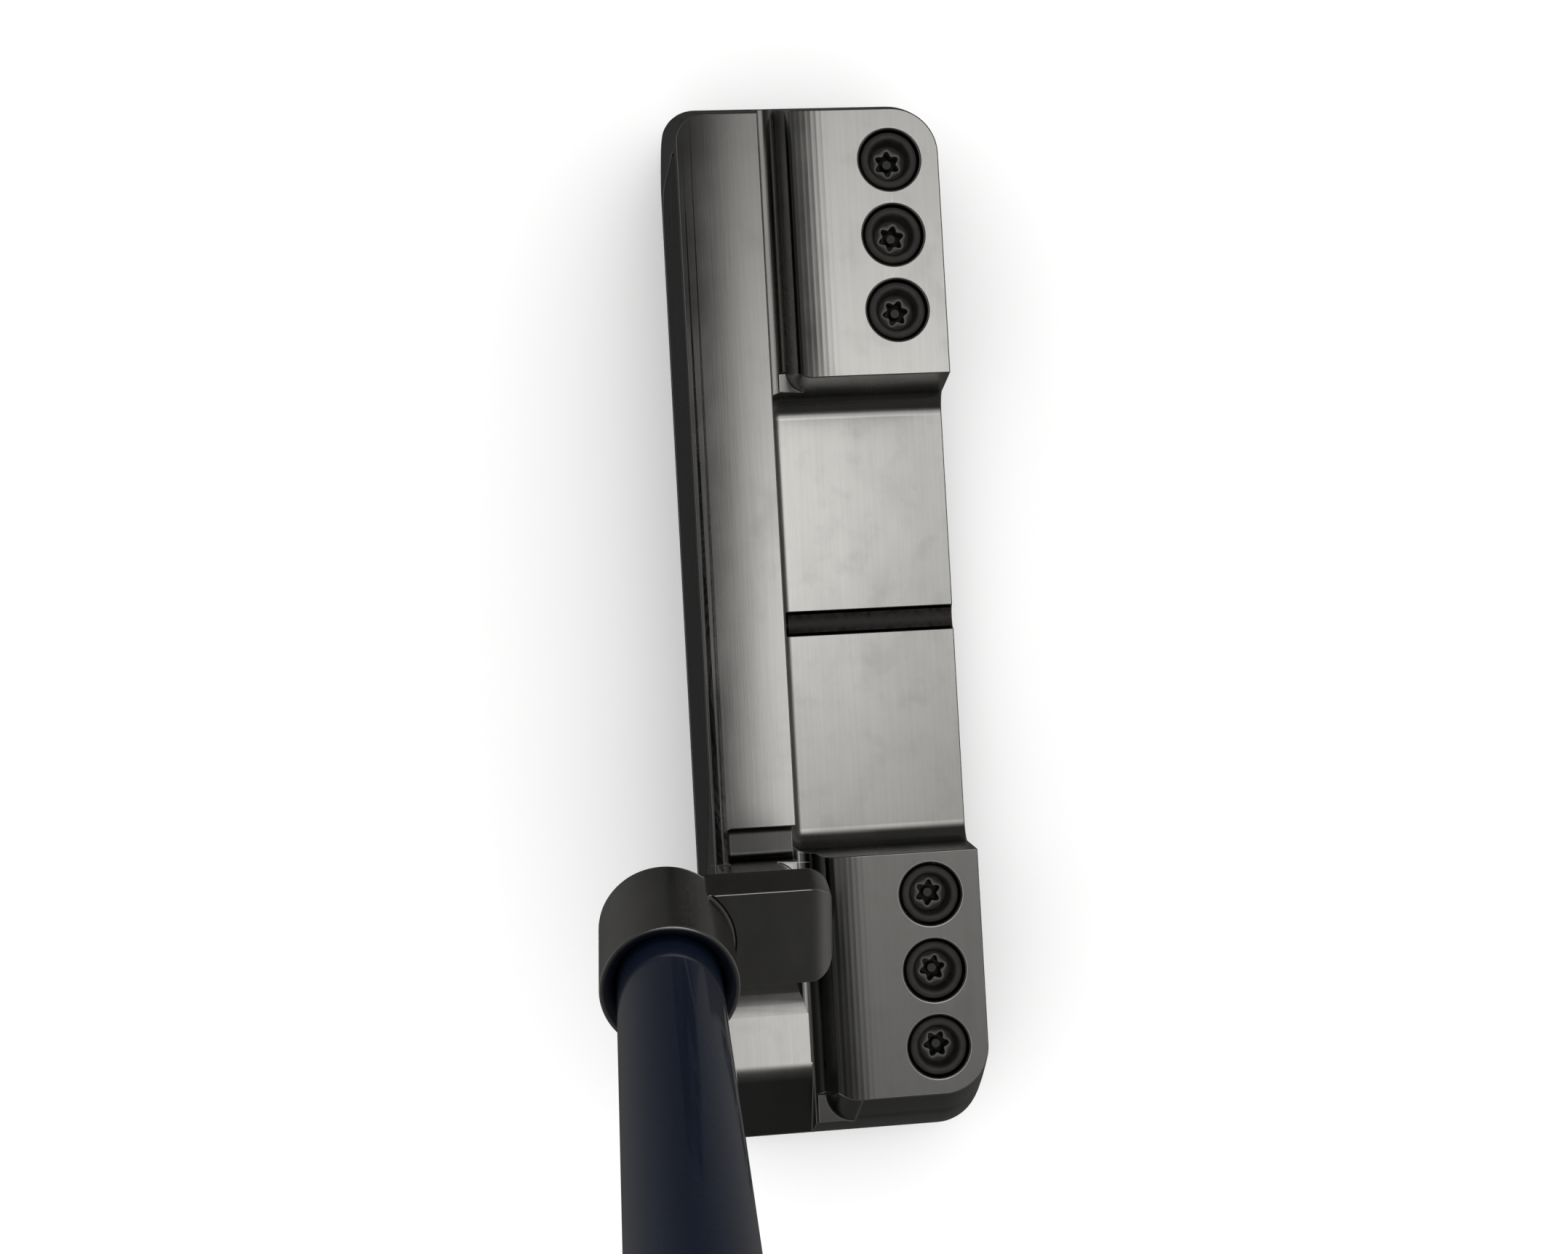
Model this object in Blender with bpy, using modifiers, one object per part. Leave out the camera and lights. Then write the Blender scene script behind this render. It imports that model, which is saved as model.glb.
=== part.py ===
# Blade putter: a milled head with a plumber's neck, a face insert on its backing,
# six weight screws, a sight line, and a shaft with its tape, grip and cap.
#
# Directions: -X toe, +X heel, -Y target side (the face looks that way), +Z up.
# Lengths inside the putter frame are measured from the leading edge (y = 0), the
# middle of the head (x = 0) and the ground (z = 0). The frame itself is moved so that
# the world origin is the middle of the flat of the sole.

import math

import bmesh
import bpy
from mathutils import Matrix, Vector

MM = 0.001

# Head
HEAD_LENGTH = 122.8 * MM  # toe to heel, at the widest level
HEAD_DEPTH = 32.4 * MM  # leading edge to the back of the flange
BLADE_HEIGHT = 24.4 * MM  # topline above the ground
BUMPER_HEIGHT = 21.7 * MM  # top of the toe and heel bumpers
FLANGE_HEIGHT = 8.0 * MM  # flange between the bumpers
TOPLINE_DEPTH = 10.3 * MM  # leading edge to the back of the topline
LOFT = math.radians(3.0)
LIE = math.radians(70.2)
BELLY_HEIGHT = 6.5 * MM  # level where the head is widest
TOE_DRAFT = 5.2 * MM  # how far the toe leans in from the belly to the bumper top
HEEL_DRAFT = 6.9 * MM
BACK_DRAFT = 1.6 * MM
SOLE_END_CURVE = 15.4 * MM  # how far the flat of the sole stops short of toe and heel
SOLE_SIDE_CURVE = 5.2 * MM  # how far it stops short of the leading edge and the back
LEADING_EDGE_HEIGHT = 1.6 * MM
CORNER_BACK = 5.2 * MM
CORNER_FRONT = 3.2 * MM

# Weight screws; rows are measured in from the toe, the heel and the leading edge
SCREW_COUNT = 3
SCREW_HOLE_RADIUS = 3.45 * MM
SCREW_PITCH = 2 * SCREW_HOLE_RADIUS + 1.6 * MM
SCREW_ROW = 25.2 * MM
TOE_INSET = 11.0 * MM  # from the toe to the nearest screw
HEEL_INSET = 12.2 * MM  # from the heel to the nearest screw
SCREW_CLEARANCE = 0.25 * MM
SCREW_HOLE_DEPTH = 9.0 * MM
SCREW_LENGTH = 8.0 * MM
SCREW_SINK = 0.2 * MM
SCREW_CHAMFER = 0.3 * MM
CUP_RADIUS = 2.3 * MM
CUP_DEPTH = 1.5 * MM
CUP_DRAFT = 0.35 * MM
CUP_CHAMFER = 0.25 * MM
STAR_RADIUS = 1.45 * MM
STAR_LOBE = 0.16  # depth of the lobes as a share of the star's radius
STAR_DEPTH = 1.6 * MM
STAR_POINTS = 48
PIN_RADIUS = 0.5 * MM

# Milled pockets of the head
SCREW_ROW_HALF = (SCREW_COUNT - 1) * SCREW_PITCH + SCREW_HOLE_RADIUS
POCKET_TOE = HEAD_LENGTH / 2 - TOE_INSET - SCREW_ROW_HALF - 3.85 * MM  # from the middle to the toe bumper
POCKET_HEEL = HEAD_LENGTH / 2 - HEEL_INSET - SCREW_ROW_HALF - 1.3 * MM  # and to the heel bumper
MILL_RADIUS = 2.4 * MM  # ball end mill that leaves the pocket's fillets
VALLEY_HEIGHT = 13.4 * MM  # floor between the topline and the bumpers
VALLEY_RADIUS = 1.3 * MM
BUMPER_START = 18.4 * MM  # where the flat top of a bumper begins
BUMPER_CROWN = 18.0 * MM  # radius of the gentle crown in front of it
BUMPER_CROWN_TURN = 12  # degrees of that crown
BUMPER_EDGE = 1.2 * MM  # radius of the bumper's front edge
BUMPER_FRONT_SLOPE = 84  # degrees
TOE_BUMPER_CORNER = 2.2 * MM
HEEL_BUMPER_CORNER = 3.2 * MM
HEEL_LEAN = 1.1 * HEEL_DRAFT / (BUMPER_HEIGHT - BELLY_HEIGHT)  # slope of the heel's upper half
TOPLINE_CROWN = 52 * MM  # radius of the topline from front to back
TOPLINE_CREST = 9.6 * MM  # its highest line, from the leading edge
POST_START = HEAD_LENGTH / 2 - 34.0 * MM  # toe side of the neck
TOPLINE_END = POST_START - 3.9 * MM  # heel end of the topline
NOTCH_DEPTH = 4.8 * MM  # notch between the topline and the neck
NOTCH_FRONT = 2.4 * MM
NOTCH_RADIUS = 1.0 * MM
SCOOP_RADIUS = 11.6 * MM  # sweep from the neck down to the heel
SCOOP_FLAT = HEAD_LENGTH / 2 - 9.8 * MM  # where the scoop rolls over towards the heel
SCOOP_ROLL = 5.0 * MM
SCOOP_SLOPE = 35  # degrees

# Neck and hosel; along the shaft, heights are measured from the hosel's rim
RIM = Vector((POST_START + 6.6 * MM, -5.0 * MM, 63.1 * MM))  # centre of the hosel's rim
TIP_RADIUS = 4.56 * MM  # shaft inside the hosel
SHAFT_CLEARANCE = 0.33 * MM
HOSEL_RADIUS = TIP_RADIUS + SHAFT_CLEARANCE + 1.16 * MM
HOSEL_LENGTH = 13.0 * MM
HOSEL_EDGE = 1.5 * MM
BORE_DEPTH = 11.0 * MM
ARM_DROP = 8.0 * MM  # top of the arm below the rim
ARM_WIDTH = 9.4 * MM
ARM_BOTTOM = 12.5 * MM  # underside of the arm below the rim
ARM_ROUNDING = 2.3 * MM
POST_SETBACK = 0.3 * MM  # the post stands this far inside the arm's back
POST_WIDTH = 7.0 * MM
POST_INTO_ARM = 1.2 * MM

# Face insert and its backing
FACE_RECESS = 5.0 * MM
INSERT_THICKNESS = 2.2 * MM
FACE_MARGIN = 3.0 * MM  # sole and topline edges around the recess
RECESS_TOE = HEAD_LENGTH / 2 - 8.6 * MM
RECESS_HEEL = HEAD_LENGTH / 2 - 9.4 * MM
RECESS_HEEL_TOP = 9.8 * MM  # top of the recess under the scoop
RECESS_SLOPE_START = POST_START - 7.9 * MM
RECESS_SLOPE_END = POST_START + 7.1 * MM
RECESS_CORNER = 3.4 * MM

# Sight line
GROOVE_RADIUS = 1.42 * MM
GROOVE_START = 12.0 * MM
GROOVE_MIDDLE = (POCKET_HEEL - POCKET_TOE) / 2  # halfway between the bumpers
FILL_SINK = 0.35 * MM

# Shaft, tape, grip and cap
CLUB_LENGTH = 864 * MM  # ground to cap along the shaft
SHAFT_WALL = 0.9 * MM
BUTT_RADIUS = 7.35 * MM
TIP_PARALLEL = 230 * MM  # straight part of the tip, from the rim
TAPER_LENGTH = 260 * MM
GRIP_LENGTH = 262 * MM
TAPE_THICKNESS = 0.3 * MM
TAPE_INSET = 6 * MM
CAP_THICKNESS = 3.0 * MM
CAP_PLUG = 7.0 * MM
CAP_VENT = 1.6 * MM
GRIP_LOW_RADIUS = BUTT_RADIUS + 3.65 * MM
GRIP_MID_RADIUS = BUTT_RADIUS + 5.25 * MM
GRIP_TOP_RADIUS = BUTT_RADIUS + 6.25 * MM
GRIP_EDGE = 0.5 * MM  # how far the grip's mouth draws in
CAP_EDGE = 1.2 * MM
GRIP_FLAT = 0.80  # the flat's distance from the axis as a share of the radius
FLAT_BULGE = 0.12  # how much of the round is left on the flat

GAP = 0.3 * MM  # clearance between pieces that sit on each other
REACH = 60 * MM  # how far cutters run past what they cut
OVERRUN = 2 * MM  # the same, where a cutter has to stop short of other features
ARC_STEPS = 6
ROUND_STEPS = 36


def clear_scene():
    for item in list(bpy.data.objects):
        bpy.data.objects.remove(item, do_unlink=True)


def make_collection(name):
    collection = bpy.data.collections.new(name)
    bpy.context.scene.collection.children.link(collection)
    return collection


def make_empty(name, parent, location=(0, 0, 0), rotation=(0, 0, 0)):
    empty = bpy.data.objects.new(name, None)
    parts.objects.link(empty)
    empty.parent = parent
    empty.location = location
    empty.rotation_euler = rotation
    return empty


def make_material(name, colour, metallic, roughness):
    material = bpy.data.materials.new(name)
    material.use_nodes = True
    shader = material.node_tree.nodes["Principled BSDF"]
    shader.inputs["Base Color"].default_value = (*colour, 1.0)
    shader.inputs["Metallic"].default_value = metallic
    shader.inputs["Roughness"].default_value = roughness
    return material


def make_object(name, mesh, parent, material=None):
    """A sub-part when it has a material, otherwise a cutter."""
    item = bpy.data.objects.new(name, mesh)
    item.parent = parent
    if material:
        parts.objects.link(item)
        mesh.materials.clear()
        mesh.materials.append(material)
    else:
        cutters.objects.link(item)
        item.hide_render = True
        item.display_type = "WIRE"
    return item


def mesh_from(name, bm):
    bmesh.ops.recalc_face_normals(bm, faces=bm.faces)
    mesh = bpy.data.meshes.new(name)
    bm.to_mesh(mesh)
    bm.free()
    return mesh


def shade_round(mesh, angle=math.radians(35)):
    mesh.shade_smooth()
    mesh.set_sharp_from_angle(angle=angle)


def boolean(item, other, operation):
    modifier = item.modifiers.new(other.name, "BOOLEAN")
    modifier.operation = operation
    modifier.solver = "EXACT"
    modifier.object = other


def arc(centre, radius, start, end, steps=ARC_STEPS):
    """Points of an arc in a plane; angles in degrees, from the first axis."""
    angles = [math.radians(start + (end - start) * i / steps) for i in range(steps + 1)]
    return [(centre[0] + radius * math.cos(a), centre[1] + radius * math.sin(a)) for a in angles]


def rounded_outline(corners, radii):
    """A closed flat outline whose corners are replaced by tangent arcs."""
    points = []
    for i, (corner, radius) in enumerate(zip(corners, radii)):
        here = Vector(corner)
        before = (Vector(corners[i - 1]) - here).normalized()
        after = (Vector(corners[(i + 1) % len(corners)]) - here).normalized()
        half = before.angle(after) / 2
        middle = here + (before + after).normalized() * (radius / math.sin(half))
        start = (here + before * (radius / math.tan(half)) - middle).normalized()
        end = (here + after * (radius / math.tan(half)) - middle).normalized()
        for step in range(ARC_STEPS + 1):
            points.append(middle + radius * start.slerp(end, step / ARC_STEPS))
    return points


def prism(name, outline, plane, low, high):
    """An outline in the XZ or YZ or XY plane, drawn out along the third axis."""
    place = {
        "XY": lambda p, t: (p[0], p[1], t),
        "XZ": lambda p, t: (p[0], t, p[1]),
        "YZ": lambda p, t: (t, p[0], p[1]),
    }[plane]
    bm = bmesh.new()
    face = bm.faces.new([bm.verts.new(place(p, low)) for p in outline])
    moved = bmesh.ops.extrude_face_region(bm, geom=[face])["geom"]
    top = [v for v in moved if isinstance(v, bmesh.types.BMVert)]
    shift = Vector(place((0, 0), high)) - Vector(place((0, 0), low))
    bmesh.ops.translate(bm, verts=top, vec=shift)
    return mesh_from(name, bm)


def block(name, low, high):
    bm = bmesh.new()
    size = Vector(high) - Vector(low)
    middle = (Vector(high) + Vector(low)) / 2
    bmesh.ops.create_cube(bm, size=1.0, matrix=Matrix.Translation(middle) @ Matrix.Diagonal((*size, 1)))
    return mesh_from(name, bm)


def round_edges(mesh, radius, chosen=None, segments=ARC_STEPS):
    """Rounds the chosen edges of a mesh, or all of them."""
    bm = bmesh.new()
    bm.from_mesh(mesh)
    edges = [e for e in bm.edges if chosen is None or chosen(e)]
    bmesh.ops.bevel(bm, geom=edges, offset=radius, segments=segments, profile=0.5, affect="EDGES")
    bm.to_mesh(mesh)
    bm.free()


def cylinder(name, radius, low, high):
    """Half a step round from the turned pieces, so that no cut runs along their edges."""
    bm = bmesh.new()
    place = Matrix.Translation((0, 0, (low + high) / 2)) @ Matrix.Rotation(math.pi / ROUND_STEPS, 4, "Z")
    bmesh.ops.create_cone(
        bm, cap_ends=True, segments=ROUND_STEPS, radius1=radius, radius2=radius,
        depth=high - low, matrix=place,
    )
    return mesh_from(name, bm)


def turned(name, profile, parent, material=None, closed=False):
    """A profile of (radius, height) turned about Z; it runs down its outer side."""
    mesh = bpy.data.meshes.new(name)
    edges = [(i, i + 1) for i in range(len(profile) - 1)]
    if closed:
        edges.append((len(profile) - 1, 0))
    mesh.from_pydata([(r, 0, h) for r, h in profile], edges, [])
    item = make_object(name, mesh, parent, material)
    screw = item.modifiers.new("turn", "SCREW")
    screw.steps = ROUND_STEPS
    screw.render_steps = ROUND_STEPS
    screw.use_merge_vertices = True
    screw.merge_threshold = 0.00001
    screw.use_smooth_shade = True
    return item


# ---- Head -------------------------------------------------------------------

def curve_in(height, reach, amount):
    """How far a quarter-ellipse edge has drawn in at a height below its reach."""
    if height >= reach:
        return 0.0
    return amount * (1 - math.sqrt(max(0.0, 1 - (1 - height / reach) ** 2)))


def head_ring(height):
    """The head's outline at one level, from the toe-front corner round to the heel."""
    rise = max(0.0, height - BELLY_HEIGHT) / (BUMPER_HEIGHT - BELLY_HEIGHT)
    end = curve_in(height, BELLY_HEIGHT, SOLE_END_CURVE)
    toe = -HEAD_LENGTH / 2 + end + TOE_DRAFT * rise ** 1.2
    heel = HEAD_LENGTH / 2 - end - HEEL_DRAFT * rise ** 1.2
    front = height * math.tan(LOFT) + curve_in(height, LEADING_EDGE_HEIGHT, SOLE_SIDE_CURVE)
    back = HEAD_DEPTH - curve_in(height, BELLY_HEIGHT, SOLE_SIDE_CURVE) - BACK_DRAFT * rise
    corners = [(toe, front), (heel, front), (heel, back), (toe, back)]
    return rounded_outline(corners, (CORNER_FRONT, CORNER_FRONT, CORNER_BACK, CORNER_BACK))


def head_blank():
    """The stacked outlines of the head, before any milling."""
    sole = [0.0, 0.25, 0.7, 1.3, 2.2, 3.6, 5.0]
    levels = [h * MM for h in sole] + [BELLY_HEIGHT, 9.5 * MM, 13 * MM, 17 * MM]
    levels += [BUMPER_HEIGHT, BLADE_HEIGHT]
    bm = bmesh.new()
    rings = []
    for level in levels:
        rings.append([bm.verts.new((p[0], p[1], level)) for p in head_ring(level)])
    for low, high in zip(rings, rings[1:]):
        for i in range(len(low)):
            j = (i + 1) % len(low)
            bm.faces.new((low[i], low[j], high[j], high[i]))
    bm.faces.new(list(reversed(rings[0])))
    bm.faces.new(rings[-1])
    return mesh_from("head_body", bm)


def crown_profile():
    """The front of a bumper, in YZ: a tight edge, then a gentle crown up to its flat top."""
    turn = math.radians(BUMPER_CROWN_TURN)
    centre = Vector((BUMPER_START, BUMPER_HEIGHT - BUMPER_CROWN))
    edge = centre + (BUMPER_CROWN - BUMPER_EDGE) * Vector((-math.sin(turn), math.cos(turn)))
    points = arc(edge, BUMPER_EDGE, 90 + BUMPER_FRONT_SLOPE, 90 + BUMPER_CROWN_TURN)
    return points[:-1] + arc(centre, BUMPER_CROWN, 90 + BUMPER_CROWN_TURN, 90)


def valley_foot():
    """Where the bumper's slope would meet the valley floor's fillet, from the leading edge."""
    tilt = math.radians(BUMPER_FRONT_SLOPE)
    start = crown_profile()[0]
    rise = start[1] - (VALLEY_HEIGHT + VALLEY_RADIUS * (1 - math.cos(tilt)))
    return start[0] - rise / math.tan(tilt)


def valley_end():
    """Where the flat of the valley floor ends, from the leading edge."""
    return valley_foot() - VALLEY_RADIUS * math.sin(math.radians(BUMPER_FRONT_SLOPE))


def rear_profile():
    """Everything behind the topline that the long milling passes take away, in YZ."""
    level = VALLEY_HEIGHT + VALLEY_RADIUS
    points = [(TOPLINE_DEPTH, REACH)]
    points += arc((TOPLINE_DEPTH + VALLEY_RADIUS, level), VALLEY_RADIUS, 180, 270)
    points += arc((valley_end(), level), VALLEY_RADIUS, 270, 270 + BUMPER_FRONT_SLOPE)
    points += crown_profile()
    points += [(HEAD_DEPTH + REACH, BUMPER_HEIGHT), (HEAD_DEPTH + REACH, REACH)]
    return points


def topline_profile():
    """What the crown of the topline takes off the blade's top, in YZ."""
    ends = (-OVERRUN, TOPLINE_DEPTH + OVERRUN)
    turns = [math.degrees(math.acos((y - TOPLINE_CREST) / TOPLINE_CROWN)) for y in ends]
    crown = arc((TOPLINE_CREST, BLADE_HEIGHT - TOPLINE_CROWN), TOPLINE_CROWN, *turns)
    return [(crown[0][0], REACH)] + crown + [(crown[-1][0], REACH)]


def corner_profile(wall, radius):
    """Rounds the upright front corner at the heel end of a bumper, in XY."""
    front = valley_foot()
    rounding = arc((wall - radius, front + radius), radius, 0, -90)
    return [(wall + OVERRUN, front - MM), (wall + OVERRUN, front + radius)] + rounding + [
        (wall - radius, front - MM)
    ]


def leaning(lean, height):
    """Slants a shape towards -X as it rises, and leaves it where it is at one height."""
    return Matrix(((1, 0, -lean, lean * height), (0, 1, 0, 0), (0, 0, 1, 0), (0, 0, 0, 1)))


def scoop_profile():
    """The sweep from the neck to the heel that lowers the blade there, in XZ."""
    wall = POST_START + POST_WIDTH
    points = [(wall, REACH)]
    points += arc((wall + SCOOP_RADIUS, VALLEY_HEIGHT + SCOOP_RADIUS), SCOOP_RADIUS, 180, 270)
    points += arc((SCOOP_FLAT, VALLEY_HEIGHT - SCOOP_ROLL), SCOOP_ROLL, 90, 90 - SCOOP_SLOPE)
    run = HEAD_LENGTH / 2 + OVERRUN - points[-1][0]
    points.append((points[-1][0] + run, points[-1][1] - run * math.tan(math.radians(SCOOP_SLOPE))))
    return points + [(points[-1][0], REACH)]


def screw_places():
    """Name and (x, y) of each weight screw."""
    toe = TOE_INSET - HEAD_LENGTH / 2
    heel = HEAD_LENGTH / 2 - HEEL_INSET - (SCREW_COUNT - 1) * SCREW_PITCH
    places = []
    for side, first in (("toe", toe), ("heel", heel)):
        for i in range(SCREW_COUNT):
            places.append((f"{side}_weight_{i + 1}", (first + i * SCREW_PITCH, SCREW_ROW)))
    return places


def face_outline(inset):
    """The recess in the face, or a piece that sits in it, as an outline in XZ."""
    top = BLADE_HEIGHT / math.cos(LOFT) - FACE_MARGIN
    corners = [
        (-RECESS_TOE + inset, FACE_MARGIN + inset),
        (RECESS_HEEL - inset, FACE_MARGIN + inset),
        (RECESS_HEEL - inset, RECESS_HEEL_TOP - inset),
        (RECESS_SLOPE_END - inset, RECESS_HEEL_TOP - inset),
        (RECESS_SLOPE_START - inset, top - inset),
        (-RECESS_TOE + inset, top - inset),
    ]
    radius = RECESS_CORNER - inset
    wide = 2 * RECESS_CORNER
    return rounded_outline(corners, (radius, 0.9 * radius, 0.8 * radius, wide + inset, wide, radius))


def arm_block():
    """The arm from the neck's post to the hosel, square to the shaft."""
    back = TOPLINE_DEPTH - RIM.y
    half = ARM_WIDTH / 2
    mesh = block("arm", (-half, 0, -ARM_BOTTOM), (half, back, -ARM_DROP))

    def outer(edge):
        a, b = (v.co for v in edge.verts)
        if min(a.y, b.y) < back - GAP:
            return False
        return max(a.z, b.z) > -ARM_BOTTOM + GAP
    round_edges(mesh, ARM_ROUNDING, outer)
    return mesh


def post_block():
    """The upright post that carries the arm."""
    front = BLADE_HEIGHT * math.tan(LOFT) + POST_SETBACK
    back = TOPLINE_DEPTH - POST_SETBACK
    top = RIM.z - (ARM_BOTTOM - POST_INTO_ARM) * math.sin(LIE)
    low = (POST_START, front, VALLEY_HEIGHT)
    mesh = block("post", low, (POST_START + POST_WIDTH, back, top))

    def upright(edge):
        a, b = (v.co for v in edge.verts)
        return abs(a.z - b.z) > GAP and min(a.y, b.y) > back - GAP
    round_edges(mesh, ARM_ROUNDING, upright)
    return mesh


def hosel_profile():
    edge = HOSEL_EDGE
    foot = arc((HOSEL_RADIUS - edge, edge - HOSEL_LENGTH), edge, 0, -90, 4)
    return [(0, 0), (HOSEL_RADIUS, 0)] + foot + [(0, -HOSEL_LENGTH)]


def build_head(steel):
    head = make_object("head_body", head_blank(), putter, steel)
    topline = prism("topline_cut", topline_profile(), "YZ", -HEAD_LENGTH, HEAD_LENGTH)
    boolean(head, make_object("topline_cut", topline, putter), "DIFFERENCE")
    rear = prism("rear_cut", rear_profile(), "YZ", -HEAD_LENGTH, HEAD_LENGTH)
    boolean(head, make_object("rear_cut", rear, putter), "DIFFERENCE")

    pocket = block(
        "pocket_cut",
        (-POCKET_TOE, TOPLINE_DEPTH, FLANGE_HEIGHT),
        (POCKET_HEEL, HEAD_DEPTH + REACH, REACH),
    )
    round_edges(pocket, MILL_RADIUS)
    boolean(head, make_object("pocket_cut", pocket, putter), "DIFFERENCE")

    corners = {
        "toe_corner_cut": (-POCKET_TOE, TOE_BUMPER_CORNER, 0.0),
        "heel_corner_cut": (HEAD_LENGTH / 2 - HEEL_DRAFT, HEEL_BUMPER_CORNER, HEEL_LEAN),
    }
    for name, (wall, radius, lean) in corners.items():
        corner = prism(name, corner_profile(wall, radius), "XY", VALLEY_HEIGHT, REACH)
        corner.transform(leaning(lean, BUMPER_HEIGHT))
        boolean(head, make_object(name, corner, putter), "DIFFERENCE")

    scoop = prism("scoop_cut", scoop_profile(), "XZ", -REACH, valley_end())
    boolean(head, make_object("scoop_cut", scoop, putter), "DIFFERENCE")

    notch = block(
        "notch_cut",
        (TOPLINE_END, NOTCH_FRONT, BLADE_HEIGHT - NOTCH_DEPTH),
        (POST_START, TOPLINE_DEPTH + REACH, REACH),
    )
    round_edges(notch, NOTCH_RADIUS)
    boolean(head, make_object("notch_cut", notch, putter), "DIFFERENCE")

    boolean(head, make_object("post", post_block(), putter), "UNION")
    boolean(head, make_object("arm", arm_block(), shaft_line), "UNION")
    boolean(head, turned("hosel", hosel_profile(), shaft_line), "UNION")
    bore = cylinder("bore_cut", TIP_RADIUS + SHAFT_CLEARANCE, -BORE_DEPTH, REACH)
    boolean(head, make_object("bore_cut", bore, shaft_line), "DIFFERENCE")

    recess = prism("recess_cut", face_outline(0), "XZ", -REACH, FACE_RECESS)
    boolean(head, make_object("recess_cut", recess, face_plane), "DIFFERENCE")

    groove = cylinder("groove_cut", GROOVE_RADIUS, -REACH, REACH)
    groove_item = make_object("groove_cut", groove, putter)
    groove_item.rotation_euler = (math.radians(90), 0, 0)
    groove_item.location = (GROOVE_MIDDLE, GROOVE_START + REACH, FLANGE_HEIGHT)
    boolean(head, groove_item, "DIFFERENCE")

    for name, (x, y) in screw_places():
        hole = cylinder(f"{name}_hole", SCREW_HOLE_RADIUS, -SCREW_HOLE_DEPTH, REACH)
        hole_item = make_object(f"{name}_hole", hole, putter)
        hole_item.location = (x, y, BUMPER_HEIGHT)
        boolean(head, hole_item, "DIFFERENCE")
    return head


def build_face(black, polymer):
    insert = prism("face_insert", face_outline(GAP), "XZ", 0, INSERT_THICKNESS)
    make_object("face_insert", insert, face_plane, black)
    backing = prism(
        "insert_backing", face_outline(GAP), "XZ", INSERT_THICKNESS + GAP, FACE_RECESS - GAP
    )
    make_object("insert_backing", backing, face_plane, polymer)


# ---- Weight screws ----------------------------------------------------------

def star_outline():
    points = []
    for i in range(STAR_POINTS):
        angle = 2 * math.pi * i / STAR_POINTS
        radius = STAR_RADIUS * (1 - STAR_LOBE + STAR_LOBE * math.cos(6 * angle))
        points.append((radius * math.cos(angle), radius * math.sin(angle)))
    return points


def weight_profile():
    radius = SCREW_HOLE_RADIUS - SCREW_CLEARANCE
    return [
        (0, -CUP_DEPTH),
        (CUP_RADIUS - CUP_DRAFT, -CUP_DEPTH),
        (CUP_RADIUS, -CUP_CHAMFER),
        (CUP_RADIUS + CUP_CHAMFER, 0),
        (radius - SCREW_CHAMFER, 0),
        (radius, -SCREW_CHAMFER),
        (radius, SCREW_CHAMFER - SCREW_LENGTH),
        (radius - SCREW_CHAMFER, -SCREW_LENGTH),
        (0, -SCREW_LENGTH),
    ]


def weight_mesh(material):
    """One weight screw with its top at the origin, as a finished mesh."""
    body = turned("weight_screw", weight_profile(), None, material)
    floor = -CUP_DEPTH - STAR_DEPTH
    star = make_object("star_cut", prism("star_cut", star_outline(), "XY", floor, REACH), None)
    pin = make_object("star_pin", cylinder("star_pin", PIN_RADIUS, floor - REACH, 2 * REACH), None)
    boolean(star, pin, "DIFFERENCE")
    boolean(body, star, "DIFFERENCE")
    bpy.context.view_layer.update()
    graph = bpy.context.evaluated_depsgraph_get()
    mesh = bpy.data.meshes.new_from_object(body.evaluated_get(graph))
    for item in (body, star, pin):
        bpy.data.objects.remove(item, do_unlink=True)
    shade_round(mesh)
    return mesh


def build_weights(material):
    mesh = weight_mesh(material)
    for name, (x, y) in screw_places():
        screw = make_object(name, mesh, putter, material)
        screw.location = (x, y, BUMPER_HEIGHT - SCREW_SINK)


# ---- Sight line -------------------------------------------------------------

def build_sight_line(enamel):
    radius = GROOVE_RADIUS - GAP
    top = -FILL_SINK
    start = math.degrees(math.asin(top / radius))
    outline = arc((0, 0), radius, start, -180 - start, 12)
    back = HEAD_DEPTH - BACK_DRAFT / 2
    mesh = prism("sight_line", outline, "XZ", GROOVE_START + GAP, back)
    fill = make_object("sight_line", mesh, putter, enamel)
    fill.location = (GROOVE_MIDDLE, 0, FLANGE_HEIGHT)


# ---- Shaft and grip ---------------------------------------------------------

def ground_distance():
    """From the hosel's rim down to the ground, along the shaft."""
    return RIM.z / math.sin(LIE)


def butt_height():
    """Top of the cap above the rim, along the shaft."""
    return CLUB_LENGTH - ground_distance()


def tube(name, outer, inner, parent, material):
    """A turned tube: outer and inner are lists of (radius, height), top to bottom."""
    return turned(name, outer + list(reversed(inner)), parent, material, closed=True)


def build_shaft(coated):
    top = butt_height() - CAP_THICKNESS - CAP_PLUG - 2 * GAP
    levels = [top, TIP_PARALLEL + TAPER_LENGTH, TIP_PARALLEL, GAP - BORE_DEPTH]
    radii = [BUTT_RADIUS, BUTT_RADIUS, TIP_RADIUS, TIP_RADIUS]
    outer = list(zip(radii, levels))
    inner = [(r - SHAFT_WALL, h) for r, h in outer]
    tube("shaft", outer, inner, shaft_line, coated)


def tape_radii():
    inner = BUTT_RADIUS + GAP
    return inner, inner + TAPE_THICKNESS


def build_tape(tape):
    inner, outer = tape_radii()
    high = butt_height() - CAP_THICKNESS - CAP_PLUG - 2 * GAP
    low = butt_height() - GRIP_LENGTH + TAPE_INSET
    tube("grip_tape", [(outer, high), (outer, low)], [(inner, high), (inner, low)], shaft_line, tape)


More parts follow.
